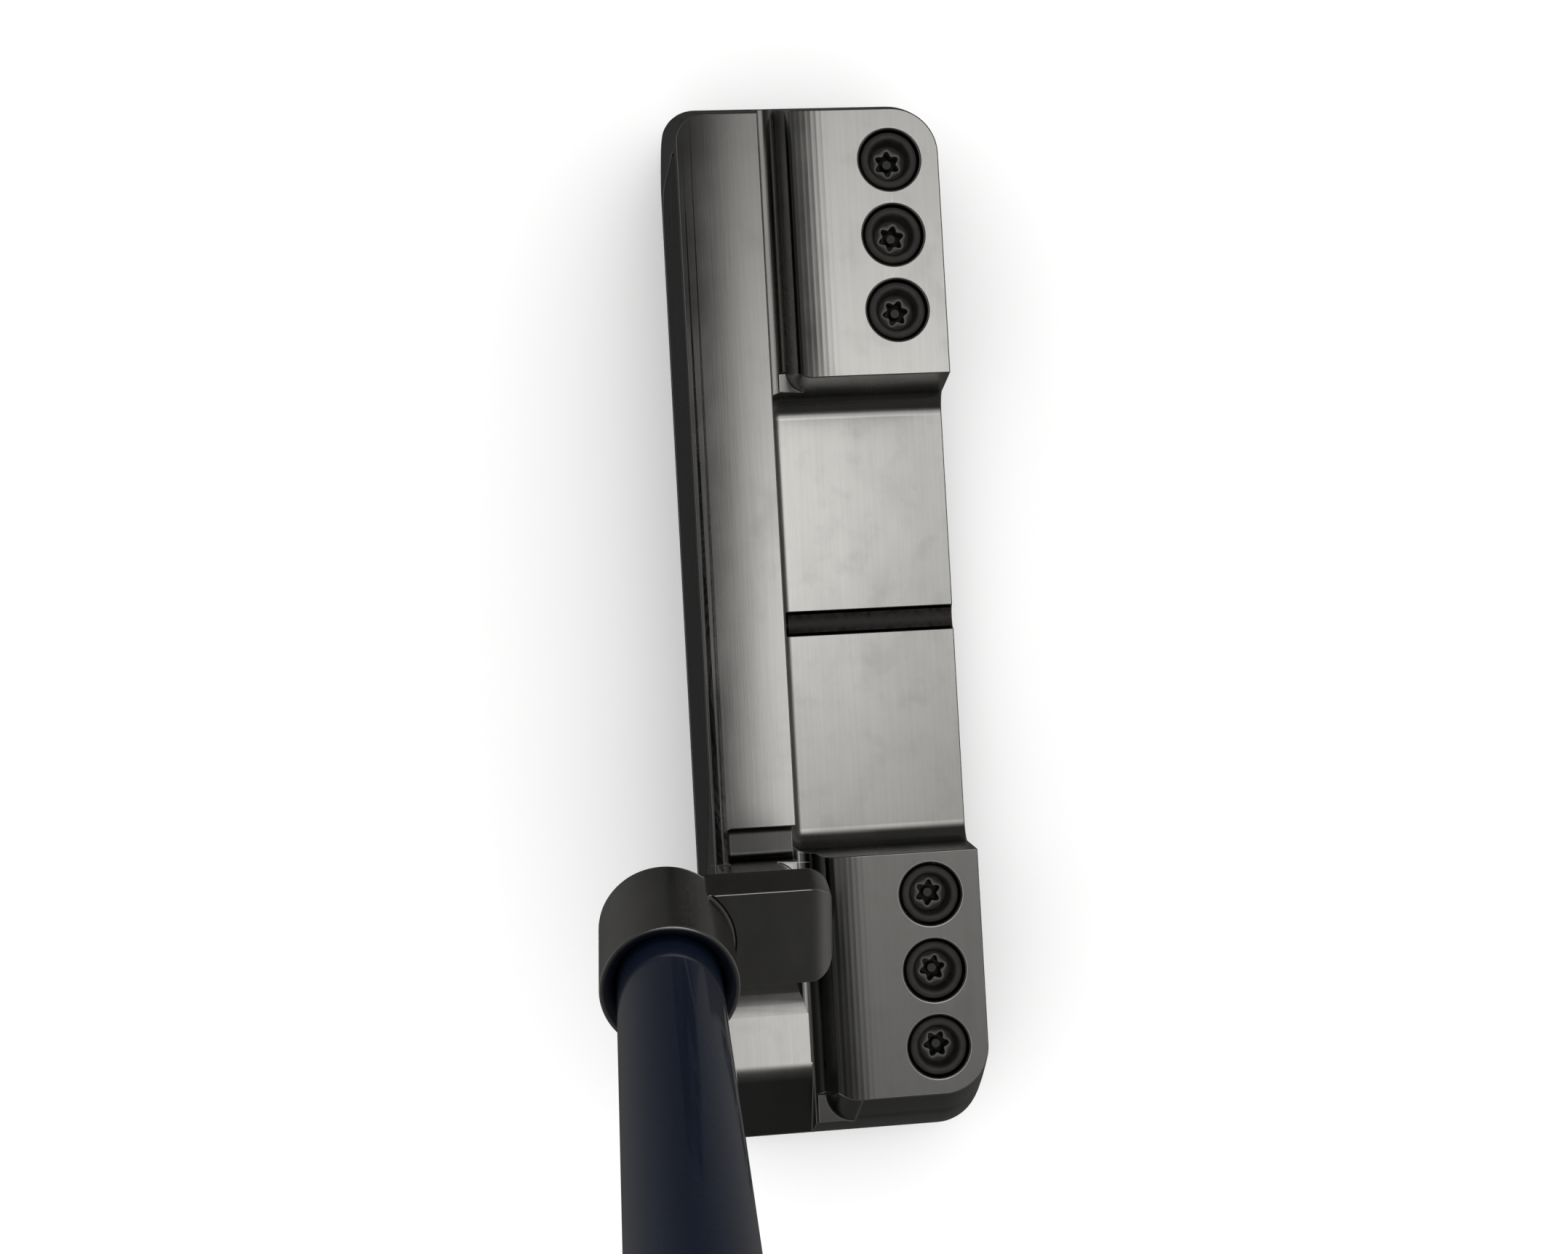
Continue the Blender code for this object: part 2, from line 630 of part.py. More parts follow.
def grip_section(radius, height):
    """A round section flattened on the side where the thumbs rest (-X here)."""
    flat = -GRIP_FLAT * radius
    points = []
    for i in range(ROUND_STEPS):
        angle = 2 * math.pi * i / ROUND_STEPS
        x = radius * math.cos(angle)
        softened = flat + (x - flat) * FLAT_BULGE if x < flat else x
        points.append(Vector((softened, radius * math.sin(angle), height)))
    return points


def loft(name, sections):
    bm = bmesh.new()
    rings = [[bm.verts.new(p) for p in section] for section in sections]
    for low, high in zip(rings, rings[1:]):
        for i in range(len(low)):
            j = (i + 1) % len(low)
            bm.faces.new((low[i], low[j], high[j], high[i]))
    bm.faces.new(list(reversed(rings[0])))
    bm.faces.new(rings[-1])
    return mesh_from(name, bm)


def build_grip(rubber):
    high = butt_height() - CAP_THICKNESS - GAP
    low = butt_height() - GRIP_LENGTH
    span = high - low
    stations = [
        (0.0, GRIP_LOW_RADIUS - GRIP_EDGE), (0.008, GRIP_LOW_RADIUS - 0.2 * MM),
        (0.02, GRIP_LOW_RADIUS), (0.3, GRIP_LOW_RADIUS + 0.7 * MM),
        (0.6, GRIP_MID_RADIUS), (0.8, GRIP_MID_RADIUS + 0.5 * MM), (1.0, GRIP_TOP_RADIUS),
    ]
    sections = [grip_section(radius, low + share * span) for share, radius in stations]
    grip = make_object("grip", loft("grip", sections), shaft_line, rubber)
    hole = cylinder("grip_hole", tape_radii()[1] + GAP, low - REACH, high + REACH)
    boolean(grip, make_object("grip_hole", hole, shaft_line), "DIFFERENCE")


def build_cap(plastic):
    high = butt_height()
    low = high - CAP_THICKNESS
    sections = [
        grip_section(GRIP_TOP_RADIUS, low),
        grip_section(GRIP_TOP_RADIUS - 0.2 * MM, high - CAP_EDGE),
        grip_section(GRIP_TOP_RADIUS - 1.2 * CAP_EDGE, high),
    ]
    cap = make_object("grip_cap", loft("grip_cap", sections), shaft_line, plastic)
    plug = cylinder("cap_plug", tape_radii()[1], low - CAP_PLUG, low + MM)
    boolean(cap, make_object("cap_plug", plug, shaft_line), "UNION")
    vent = cylinder("cap_vent", CAP_VENT, low - REACH, high + REACH)
    boolean(cap, make_object("cap_vent", vent, shaft_line), "DIFFERENCE")


clear_scene()
parts = make_collection("blade_putter")
cutters = make_collection("cutters")
putter = make_empty("putter", None, location=(0, -HEAD_DEPTH / 2, 0))
shaft_line = make_empty("shaft_line", putter, RIM, (0, math.pi / 2 - LIE, 0))
face_plane = make_empty("face_plane", putter, rotation=(-LOFT, 0, 0))

build_head(make_material("milled_steel", (0.42, 0.42, 0.42), 1.0, 0.34))
build_face(
    make_material("black_aluminium", (0.012, 0.012, 0.014), 0.6, 0.45),
    make_material("dark_polymer", (0.03, 0.03, 0.03), 0.0, 0.6),
)
build_weights(make_material("black_oxide", (0.02, 0.02, 0.02), 0.7, 0.42))
build_sight_line(make_material("black_enamel", (0.008, 0.008, 0.008), 0.0, 0.3))
build_shaft(make_material("navy_coating", (0.01, 0.014, 0.035), 0.3, 0.16))
build_tape(make_material("paper_tape", (0.7, 0.66, 0.55), 0.0, 0.8))
build_grip(make_material("grip_rubber", (0.02, 0.02, 0.022), 0.0, 0.7))
build_cap(make_material("cap_plastic", (0.03, 0.03, 0.032), 0.0, 0.45))
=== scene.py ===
# Blade putter with a plumber's neck, six weight screws and a rubber grip.
# Toe is -X, heel is +X, the face looks to -Y and the sole rests on the ground at z = 0.

import math

import bmesh
import bpy
from mathutils import Matrix, Vector


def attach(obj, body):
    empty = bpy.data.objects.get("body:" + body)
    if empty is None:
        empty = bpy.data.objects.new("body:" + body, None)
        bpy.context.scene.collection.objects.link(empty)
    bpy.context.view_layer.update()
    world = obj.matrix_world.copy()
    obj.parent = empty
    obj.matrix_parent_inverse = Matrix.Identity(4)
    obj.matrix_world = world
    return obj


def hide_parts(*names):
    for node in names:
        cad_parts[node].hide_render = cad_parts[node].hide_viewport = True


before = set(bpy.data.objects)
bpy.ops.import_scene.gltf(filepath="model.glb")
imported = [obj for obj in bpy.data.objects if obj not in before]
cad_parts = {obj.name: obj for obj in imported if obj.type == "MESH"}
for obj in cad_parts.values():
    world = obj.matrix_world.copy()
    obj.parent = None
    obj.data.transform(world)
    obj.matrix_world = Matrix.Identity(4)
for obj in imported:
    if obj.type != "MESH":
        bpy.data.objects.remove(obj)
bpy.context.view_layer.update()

mm = 0.001
slack = 0.1 * mm
closeBy = 0.001 * mm
smoothAngle = math.radians(32)


# shared making tools

def linkItem(name, data):
    item = bpy.data.objects.new(name, data)
    bpy.context.scene.collection.objects.link(item)
    return item


def meshFrom(name, bm):
    bmesh.ops.recalc_face_normals(bm, faces=bm.faces)
    mesh = bpy.data.meshes.new(name)
    bm.to_mesh(mesh)
    bm.free()
    return mesh


def arcPoints(centre, radius, start, end, steps):
    turns = [math.radians(start + (end - start) * i / steps) for i in range(steps + 1)]
    return [(centre[0] + radius * math.cos(a), centre[1] + radius * math.sin(a)) for a in turns]


def roundedOutline(corners, radii, steps):
    # a closed flat outline whose corners are swapped for tangent arcs
    points = []
    for i, (corner, radius) in enumerate(zip(corners, radii)):
        here = Vector(corner)
        before = (Vector(corners[i - 1]) - here).normalized()
        after = (Vector(corners[(i + 1) % len(corners)]) - here).normalized()
        half = before.angle(after) / 2
        middle = here + (before + after).normalized() * (radius / math.sin(half))
        start = (here + before * (radius / math.tan(half)) - middle).normalized()
        end = (here + after * (radius / math.tan(half)) - middle).normalized()
        points += [middle + radius * start.slerp(end, k / steps) for k in range(steps + 1)]
    return points


def prism(outline, plane, low, high):
    place = {
        "XY": lambda p, t: (p[0], p[1], t),
        "XZ": lambda p, t: (p[0], t, p[1]),
        "YZ": lambda p, t: (t, p[0], p[1]),
    }[plane]
    bm = bmesh.new()
    face = bm.faces.new([bm.verts.new(place(p, low)) for p in outline])
    moved = bmesh.ops.extrude_face_region(bm, geom=[face])["geom"]
    top = [v for v in moved if isinstance(v, bmesh.types.BMVert)]
    bmesh.ops.translate(bm, verts=top, vec=Vector(place((0, 0), high)) - Vector(place((0, 0), low)))
    return meshFrom("cutter", bm)


def block(low, high):
    bm = bmesh.new()
    size = Vector(high) - Vector(low)
    place = Matrix.Translation((Vector(high) + Vector(low)) / 2) @ Matrix.Diagonal((*size, 1))
    bmesh.ops.create_cube(bm, size=1.0, matrix=place)
    return meshFrom("cutter", bm)


def turned(profile, steps, offset=0.0):
    # a closed profile of (radius, height) turned about Z; the ends on the axis become poles
    bm = bmesh.new()
    rings = []
    for radius, height in profile:
        if radius < 1e-7:
            rings.append([bm.verts.new((0, 0, height))])
            continue
        turns = [2 * math.pi * (k + offset) / steps for k in range(steps)]
        rings.append([bm.verts.new((radius * math.cos(a), radius * math.sin(a), height)) for a in turns])
    for one, two in zip(rings, rings[1:]):
        for k in range(steps):
            j = (k + 1) % steps
            corners = [one[k % len(one)], one[j % len(one)], two[j % len(two)], two[k % len(two)]]
            unique = list(dict.fromkeys(corners))
            if len(unique) > 2:
                bm.faces.new(unique)
    return bm


def bridge(bm, rings):
    for one, two in zip(rings, rings[1:]):
        for i in range(len(one)):
            j = (i + 1) % len(one)
            bm.faces.new((one[i], one[j], two[j], two[i]))


def roundEdges(mesh, radius, chosen, segments):
    bm = bmesh.new()
    bm.from_mesh(mesh)
    edges = [e for e in bm.edges if chosen is None or chosen(e)]
    bmesh.ops.bevel(bm, geom=edges, offset=radius, segments=segments, profile=0.5, affect="EDGES")
    bm.to_mesh(mesh)
    bm.free()


def combine(item, mesh, place=None, operation="DIFFERENCE"):
    if place is not None:
        mesh.transform(place)
    other = linkItem("cutter", mesh)
    modifier = item.modifiers.new("cut", "BOOLEAN")
    modifier.operation = operation
    modifier.solver = "EXACT"
    modifier.object = other
    applyModifiers(item)
    bpy.data.objects.remove(other, do_unlink=True)


def applyModifiers(item):
    # turns the object's modifiers into a plain mesh
    bpy.context.view_layer.update()
    graph = bpy.context.evaluated_depsgraph_get()
    mesh = bpy.data.meshes.new_from_object(item.evaluated_get(graph))
    item.modifiers.clear()
    old = item.data
    item.data = mesh
    bpy.data.meshes.remove(old)


# head: sizes in millimetres, from the leading edge, the middle of its length and the ground

head = {
    "length": 122.8, "depth": 32.4, "bladeHeight": 24.4, "bumperHeight": 21.7,
    "flangeHeight": 8.0, "toplineDepth": 10.3, "loft": 3.0, "lie": 70.2,
    "bellyHeight": 6.5, "toeDraft": 5.2, "heelDraft": 6.9, "backDraft": 1.6,
    "soleEndCurve": 15.4, "soleSideCurve": 5.2, "leadingEdge": 1.6,
    "cornerBack": 5.2, "cornerFront": 3.2,
    "pocketToe": 26.1, "pocketHeel": 27.45, "millRadius": 2.4,
    "valleyHeight": 13.4, "valleyRadius": 1.3,
    "bumperStart": 18.4, "bumperCrown": 18.0, "crownTurn": 12.0, "bumperEdge": 1.2, "bumperSlope": 84.0,
    "bumperCorner": 2.2, "scallops": 6, "scallopDepth": 0.008,
    "toplineCrown": 52.0, "toplineCrest": 9.6, "heelCorner": 3.2,
    "toplineEnd": 23.5, "notchDepth": 4.8, "notchFront": 2.4, "notchRadius": 1.0,
    "scoopRadius": 11.6, "scoopFlat": 51.6, "scoopRoll": 5.0, "scoopSlope": 35.0,
    "rim": (34.0, -5.0, 63.1), "hoselRadius": 6.05, "hoselLength": 13.0, "hoselEdge": 1.5, "hoselLip": 0.2,
    "seamDepth": 0.14, "seamOut": 0.16,
    "boreRadius": 4.89, "boreDepth": 11.0, "boreChamfer": 0.8,
    "armDrop": 8.0, "armWidth": 9.4, "armBottom": 12.5, "armRounding": 2.3,
    "postSetback": 0.3, "postStart": 27.4, "postWidth": 7.0, "postIntoArm": 1.2,
    "faceRecess": 5.0, "faceMargin": 3.0, "recessToe": 52.8, "recessHeel": 52.0,
    "recessHeelTop": 9.8, "recessSlopeStart": 19.5, "recessSlopeEnd": 34.5, "recessCorner": 3.4,
    "grooveRadius": 1.42, "grooveStart": 12.0,
    "holeRadius": 3.45, "holeDepth": 9.0, "holeChamfer": 0.12,
    "edgeRounding": 0.13, "arcSteps": 14, "roundSteps": 96,
    # how fast the ends draw in with height, what cleaning the finished cuts needs, and over what tilt the
    # scoop's painted highlight fades
    "draftPower": 1.2, "heelLean": 1.1, "mergeDistance": 0.004,
    "flatAngle": 0.3, "sharpAngle": 33, "scoopHighlightFade": 24,
}
screw = {
    "row": 25.2, "pitch": 8.5, "toeFirst": -50.4, "heelFirst": 32.2, "count": 3,
}
reach = 60 * mm
originShift = Matrix.Translation((0, -head["depth"] / 2 * mm, 0))


def hs(name):
    return head[name] * mm


rim = Vector(head["rim"]) * mm
grooveMiddle = (hs("pocketHeel") - hs("pocketToe")) / 2
lie = math.radians(head["lie"])
loft = math.radians(head["loft"])
shaftPlace = Matrix.Translation(rim) @ Matrix.Rotation(math.pi / 2 - lie, 4, "Y")
facePlace = Matrix.Rotation(-loft, 4, "X")


def drawnIn(height, reachUp, amount):
    if height >= reachUp:
        return 0.0
    return amount * (1 - math.sqrt(max(0.0, 1 - (1 - height / reachUp) ** 2)))


def headRing(height):
    rise = max(0.0, height - hs("bellyHeight")) / (hs("bumperHeight") - hs("bellyHeight"))
    end = drawnIn(height, hs("bellyHeight"), hs("soleEndCurve"))
    toe = -hs("length") / 2 + end + hs("toeDraft") * rise ** head["draftPower"]
    heel = hs("length") / 2 - end - hs("heelDraft") * rise ** head["draftPower"]
    front = height * math.tan(loft) + drawnIn(height, hs("leadingEdge"), hs("soleSideCurve"))
    back = hs("depth") - drawnIn(height, hs("bellyHeight"), hs("soleSideCurve")) - hs("backDraft") * rise
    corners = [(toe, front), (heel, front), (heel, back), (toe, back)]
    radii = [hs("cornerFront"), hs("cornerFront"), hs("cornerBack"), hs("cornerBack")]
    return roundedOutline(corners, radii, head["arcSteps"])


def headBlank():
    low = [0.0, 0.06, 0.16, 0.3, 0.5, 0.75, 1.05, 1.4, 1.8, 2.3, 2.9, 3.6, 4.4, 5.4]
    levels = [h * mm for h in low] + [hs("bellyHeight"), 8 * mm, 10 * mm, 12 * mm, 14 * mm, 16 * mm]
    levels += [18 * mm, 20 * mm, hs("bumperHeight"), hs("bladeHeight")]
    bm = bmesh.new()
    rings = [[bm.verts.new((p[0], p[1], level)) for p in headRing(level)] for level in levels]
    bridge(bm, rings)
    bm.faces.new(list(reversed(rings[0])))
    bm.faces.new(rings[-1])
    return meshFrom("milledHead", bm)


def crownPoints(start, top):
    # the bumper's front: a steep edge arc, then a gentle crown with the mill's shallow scallops
    radius, edge = hs("bumperCrown"), hs("bumperEdge")
    slope, turn = head["bumperSlope"], head["crownTurn"]
    centre = Vector((start, top - radius))
    way = Vector((-math.sin(math.radians(turn)), math.cos(math.radians(turn))))
    points = arcPoints(centre + way * (radius - edge), edge, 90 + slope, 90 + turn, 10)[:-1]
    count, inner = head["scallops"], 5
    for i in range(count * inner):
        at = math.radians(90 + turn * (1 - i / (count * inner)))
        inside = (i % inner) / inner
        depth = radius - hs("scallopDepth") * 4 * inside * (1 - inside)
        points.append((centre.x + depth * math.cos(at), centre.y + depth * math.sin(at)))
    return points + [(start, top)]


def rearProfile():
    floor, wall, slope = hs("valleyHeight"), hs("toplineDepth"), head["bumperSlope"]
    tilt = math.radians(slope)
    radius, steps = hs("valleyRadius"), head["arcSteps"]
    crown = crownPoints(hs("bumperStart"), hs("bumperHeight"))
    points = [(wall, reach)]
    points += arcPoints((wall + radius, floor + radius), radius, 180, 270, steps)
    rise = crown[0][1] - (floor + radius * (1 - math.cos(tilt)))
    foot = crown[0][0] - rise / math.tan(tilt)
    centre = foot - radius * math.sin(tilt)
    points += arcPoints((centre, floor + radius), radius, 270, 270 + slope, steps)
    points += crown
    points += [(hs("depth") + reach, hs("bumperHeight")), (hs("depth") + reach, reach)]
    return points, centre, foot


def toplineProfile():
    # what the topline's crown takes off the flat top, in YZ
    radius, crest = hs("toplineCrown"), hs("toplineCrest")
    top, past, steps = hs("bladeHeight"), 2, 24
    points = []
    for i in range(steps + 1):
        y = (-past + (hs("toplineDepth") / mm + 2 * past) * i / steps) * mm
        points.append((y, top - radius + math.sqrt(radius ** 2 - (y - crest) ** 2)))
    return [(points[0][0], reach)] + points + [(points[-1][0], reach)]


def cornerProfile(wall, front, radius):
    # rounds the upright front corner at the +X end of a bumper, seen from above
    past, steps = 2 * mm, 12
    outline = [(wall + past, front - mm), (wall + past, front + radius)]
    for i in range(steps + 1):
        at = math.pi / 2 * i / steps
        outline.append((wall - radius * (1 - math.cos(at)), front + radius * (1 - math.sin(at))))
    return outline + [(wall - radius, front - mm)]


def leaning(slant, height):
    # slants a shape towards -X as it rises, and leaves it where it is at one height
    return Matrix(((1, 0, -slant, slant * height), (0, 1, 0, 0), (0, 0, 1, 0), (0, 0, 0, 1)))


def scoopProfile():
    wall = hs("postStart") + hs("postWidth")
    radius, roll, steps = hs("scoopRadius"), hs("scoopRoll"), head["arcSteps"]
    points = [(wall, reach)]
    points += arcPoints((wall + radius, hs("valleyHeight") + radius), radius, 180, 270, steps)
    rolled = arcPoints((hs("scoopFlat"), hs("valleyHeight") - roll), roll, 90, 90 - head["scoopSlope"], steps)
    run = hs("length") / 2 + 4 * mm - rolled[-1][0]
    far = (rolled[-1][0] + run, rolled[-1][1] - run * math.tan(math.radians(head["scoopSlope"])))
    return points + rolled + [far, (far[0], reach)]


def faceOutline(inset):
    top = hs("bladeHeight") / math.cos(loft) - hs("faceMargin")
    toe, heel = hs("recessToe") - inset, hs("recessHeel") - inset
    corners = [
        (-toe, hs("faceMargin") + inset), (heel, hs("faceMargin") + inset),
        (heel, hs("recessHeelTop") - inset), (hs("recessSlopeEnd") - inset, hs("recessHeelTop") - inset),
        (hs("recessSlopeStart") - inset, top - inset), (-toe, top - inset),
    ]
    radius = hs("recessCorner") - inset
    wide = 2 * hs("recessCorner")
    return roundedOutline(corners, (radius, 0.9 * radius, 0.8 * radius, wide + inset, wide, radius), 12)


def armBlock():
    back, half = hs("toplineDepth") - rim.y, hs("armWidth") / 2
    mesh = block((-half, 0, -hs("armBottom")), (half, back, -hs("armDrop")))

    def outer(edge):
        a, b = (v.co for v in edge.verts)
        return min(a.y, b.y) > back - slack and max(a.z, b.z) > -hs("armBottom") + slack
    roundEdges(mesh, hs("armRounding"), outer, 12)
    return mesh


def postBlock():
    front = hs("bladeHeight") * math.tan(loft) + hs("postSetback")
    back = hs("toplineDepth") - hs("postSetback")
    top = rim.z - (hs("armBottom") - hs("postIntoArm")) * math.sin(lie)
    mesh = block((hs("postStart"), front, hs("valleyHeight")), (hs("postStart") + hs("postWidth"), back, top))

    def upright(edge):
        a, b = (v.co for v in edge.verts)
        return abs(a.z - b.z) > mm and min(a.y, b.y) > back - slack
    roundEdges(mesh, hs("armRounding"), upright, 12)
    return mesh


def hoselMesh():
    edge, lip = hs("hoselEdge"), hs("hoselLip")
    radius, length = hs("hoselRadius"), hs("hoselLength")
    foot = arcPoints((radius - edge, edge - length), edge, 0, -90, 8)
    mouth = arcPoints((radius - lip, -lip), lip, 90, 0, 5)
    bm = turned([(0, 0)] + mouth + foot + [(0, -length)], head["roundSteps"])
    return meshFrom("cutter", bm)


def screwPlaces():
    found = []
    for side, first in (("toe", screw["toeFirst"]), ("heel", screw["heelFirst"])):
        for i in range(screw["count"]):
            along = (first + i * screw["pitch"]) * mm
            found.append((f"{side}_weight_{i + 1}", Vector((along, screw["row"] * mm, 0))))
    return found


def shapeTop(item):
    # topline, bumpers, flange pocket, the scoop past the neck and the notch in front of it
    profile, valleyEnd, foot = rearProfile()
    combine(item, prism(toplineProfile(), "YZ", -hs("length"), hs("length")))
    combine(item, prism(profile, "YZ", -hs("length"), hs("length")))
    pocket = block((-hs("pocketToe"), hs("toplineDepth"), hs("flangeHeight")),
                   (hs("pocketHeel"), hs("depth") + reach, reach))
    roundEdges(pocket, hs("millRadius"), None, 12)
    combine(item, pocket)
    # the heel's upper half leans in a little faster than its draft does on average
    lean = head["heelLean"] * head["heelDraft"] / (head["bumperHeight"] - head["bellyHeight"])
    for wall, name, slant in ((-hs("pocketToe"), "bumperCorner", 0),
                              (hs("length") / 2 - hs("heelDraft"), "heelCorner", lean)):
        corner = prism(cornerProfile(wall, foot, hs(name)), "XY", hs("valleyHeight"), reach)
        corner.transform(leaning(slant, hs("bumperHeight")))
        combine(item, corner)
    combine(item, prism(scoopProfile(), "XZ", -reach, valleyEnd))
    notch = block((hs("toplineEnd"), hs("notchFront"), hs("bladeHeight") - hs("notchDepth")),
                  (hs("postStart"), hs("toplineDepth") + reach, reach))
    roundEdges(notch, hs("notchRadius"), None, 10)
    combine(item, notch)


def addNeck(item):
    # post, arm and hosel, the seam line round the hosel, and the shaft's bore
    combine(item, postBlock(), None, "UNION")
    combine(item, armBlock(), shaftPlace, "UNION")
    combine(item, hoselMesh(), shaftPlace, "UNION")
    seam = arcPoints((hs("hoselRadius") + hs("seamOut"), -hs("armDrop")), hs("seamDepth"), 0, 360, 12)
    ring = turned(seam, head["roundSteps"], 0.25)
    bmesh.ops.remove_doubles(ring, verts=ring.verts, dist=closeBy)
    combine(item, meshFrom("cutter", ring), shaftPlace)
    chamfer, radius = hs("boreChamfer"), hs("boreRadius")
    bore = turned([(0, reach), (radius + chamfer + reach, reach), (radius, -chamfer),
                   (radius, -hs("boreDepth")), (0, -hs("boreDepth"))], head["roundSteps"], 0.5)
    combine(item, meshFrom("cutter", bore), shaftPlace)


def cutRecesses(item):
    # the face insert's recess, the sight line's groove and the screw holes
    combine(item, prism(faceOutline(0), "XZ", -reach, hs("faceRecess")), facePlace)
    groove = turned([(0, reach), (hs("grooveRadius"), reach), (hs("grooveRadius"), -reach), (0, -reach)], 48)
    lying = Matrix.Translation((grooveMiddle, hs("grooveStart") + reach, hs("flangeHeight")))
    lying = lying @ Matrix.Rotation(math.pi / 2, 4, "X")
    combine(item, meshFrom("cutter", groove), lying)
    chamfer, radius = hs("holeChamfer"), hs("holeRadius")
    for name, place in screwPlaces():
        hole = turned([(0, reach), (radius + chamfer, reach), (radius + chamfer, 0), (radius, -chamfer),
                       (radius, -hs("holeDepth")), (0, -hs("holeDepth"))], head["roundSteps"])
        combine(item, meshFrom("cutter", hole),
                Matrix.Translation(place + Vector((0, 0, hs("bumperHeight")))))


def makeHead():
    item = linkItem("milledHead", headBlank())
    shapeTop(item)
    addNeck(item)
    cutRecesses(item)
    return item


# how bright each part of the head is painted: the steel's own tone with painted light and shade on it; the
# toe bumper and the scoop are painted lighter, the heel bumper, notch, valley, heel wall and face are painted
# darker as painted shade, and the groove is dark with its black paint
tonesWithPaintedLight = {
    "neck": 0.44, "topline": 0.44, "toeBumper": 0.60, "heelBumper": 0.19,
    "flange": 0.50, "scoop": 0.80, "notch": 0.12, "valley": 0.34,
    "heelWall": 0.10, "face": 0.03, "groove": 0.03, "rest": 0.20,
}
regions = list(tonesWithPaintedLight)


def regionOf(at, normal):
    # the part of the head that a face belongs to, from its middle in millimetres:
    # the limits lie between the surfaces that they tell apart
    up = normal.z > 0.3
    flange, toplineLow = head["flangeHeight"], 23.0
    if at.z > toplineLow and at.x > head["toplineEnd"]:
        return "neck"
    if up and at.z > toplineLow:
        return "topline"
    if up and at.y > 14.2 and at.z > 16.0:
        return "toeBumper" if at.x < 0 else "heelBumper"
    if 5 < at.z < 7.98 and abs(at.x - grooveMiddle / mm) < hs("grooveRadius") / mm + 0.1:
        return "groove"
    if normal.z > 0.9 and abs(at.z - flange) < 0.3:
        return "flange"
    if up and at.x > 36 and flange < at.z < 20 and at.y < 11.4:
        return "scoop"
    if at.z > 18.5 and 23.4 < at.x < 27.6 and at.y < 11:
        return "notch"
    if normal.y < -0.6 and at.y < 3:
        return "face"
    if 10.0 < at.y < 30 and 8.1 < at.z < 21.0 and abs(at.x) < 58:
        return "valley" if at.x < 36 else "heelWall"
    return "rest"


def cleanHead(item):
    # merges what the cuts left, paints each part's tone with its painted light and shade, then rounds every
    # sharp edge and marks the rounding for a painted edge highlight
    bm = bmesh.new()
    bm.from_mesh(item.data)
    wearAndHighlight = bm.faces.layers.float.new("wearAndHighlight")
    tone = bm.faces.layers.float.new("tone")
    crown = bm.faces.layers.float.new("crown")
    bmesh.ops.remove_doubles(bm, verts=bm.verts, dist=hs("mergeDistance"))
    bmesh.ops.dissolve_degenerate(bm, edges=bm.edges, dist=hs("mergeDistance"))
    bm.normal_update()
    for face in bm.faces:
        face.material_index = regions.index(regionOf(face.calc_center_median() / mm, face.normal))
    bmesh.ops.dissolve_limit(bm, angle_limit=math.radians(head["flatAngle"]), verts=bm.verts, edges=bm.edges,
                             delimit={"MATERIAL"})
    sharpFrom = math.radians(head["sharpAngle"])
    sharp = [e for e in bm.edges if e.is_manifold and e.calc_face_angle() > sharpFrom]
    rounded = bmesh.ops.bevel(bm, geom=sharp, offset=hs("edgeRounding"), segments=3, profile=0.5,
                              affect="EDGES", clamp_overlap=False, loop_slide=True)["faces"]
    for face in bm.faces:
        name = regions[face.material_index]
        face[tone] = tonesWithPaintedLight[name]
        # painted highlight: the scoop is painted brightest where it faces straight up, fading to the plain
        # tone as it tilts
        if name == "scoop":
            tilt = math.degrees(face.normal.angle(Vector((0, 0, 1))))
            face[tone] = tonesWithPaintedLight["rest"] + (tonesWithPaintedLight[name] - tonesWithPaintedLight["rest"]) * max(0, 1 - tilt / head["scoopHighlightFade"])
        face[crown] = float(name == "topline")
        face.material_index = 0
    # the rounded edges carry a painted highlight
    for face in rounded:
        face[wearAndHighlight] = 1.0
        face[crown] = 0.0
    bm.to_mesh(item.data)
    print("head faces", len(bm.faces), "open edges", sum(1 for e in bm.edges if not e.is_manifold))
    bm.free()


def smoothShade(item):
    item.data.shade_smooth()
    item.data.set_sharp_from_angle(angle=smoothAngle)
    weighted = item.modifiers.new("weighted", "WEIGHTED_NORMAL")
    weighted.keep_sharp = True
    weighted.weight = 90
    applyModifiers(item)


def smoothItem(name, mesh):
    item = linkItem(name, mesh)
    smoothShade(item)
    return item


def curveTopline(item):
    # the topline's long faces take their normals from its true curve
    mesh = item.data
    normals = [Vector(corner.vector) for corner in mesh.corner_normals]
    crest = hs("toplineCrest") - hs("depth") / 2
    for face, flag in zip(mesh.polygons, mesh.attributes["crown"].data):
        if flag.value > 0.5 and face.normal.z > 0.9:
            for i in face.loop_indices:
                slope = (mesh.vertices[mesh.loops[i].vertex_index].co.y - crest) / hs("toplineCrown")
                normals[i] = Vector((0, slope, math.sqrt(1 - slope * slope)))
    mesh.normals_split_custom_set(normals)


def coat(item, material):
    item.data.materials.clear()
    item.data.materials.append(material)


def dress(item, material, node, body):
    coat(item, material)
    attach(item, body)
    if node:
        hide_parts(node)


# node helpers

def addNode(tree, kind, inputs=(), **settings):
    made = tree.nodes.new(kind)
    for key, value in settings.items():
        setattr(made, key, value)
    pairs = inputs.items() if isinstance(inputs, dict) else enumerate(inputs)
    for key, value in pairs:
        if value is None:
            continue
        if isinstance(value, bpy.types.NodeSocket):
            tree.links.new(value, made.inputs[key])
        else:
            made.inputs[key].default_value = value
    return made


def maths(tree, operation, *inputs):
    return addNode(tree, "ShaderNodeMath", inputs, operation=operation).outputs[0]


def times(tree, one, two):
    return maths(tree, "MULTIPLY", one, two)


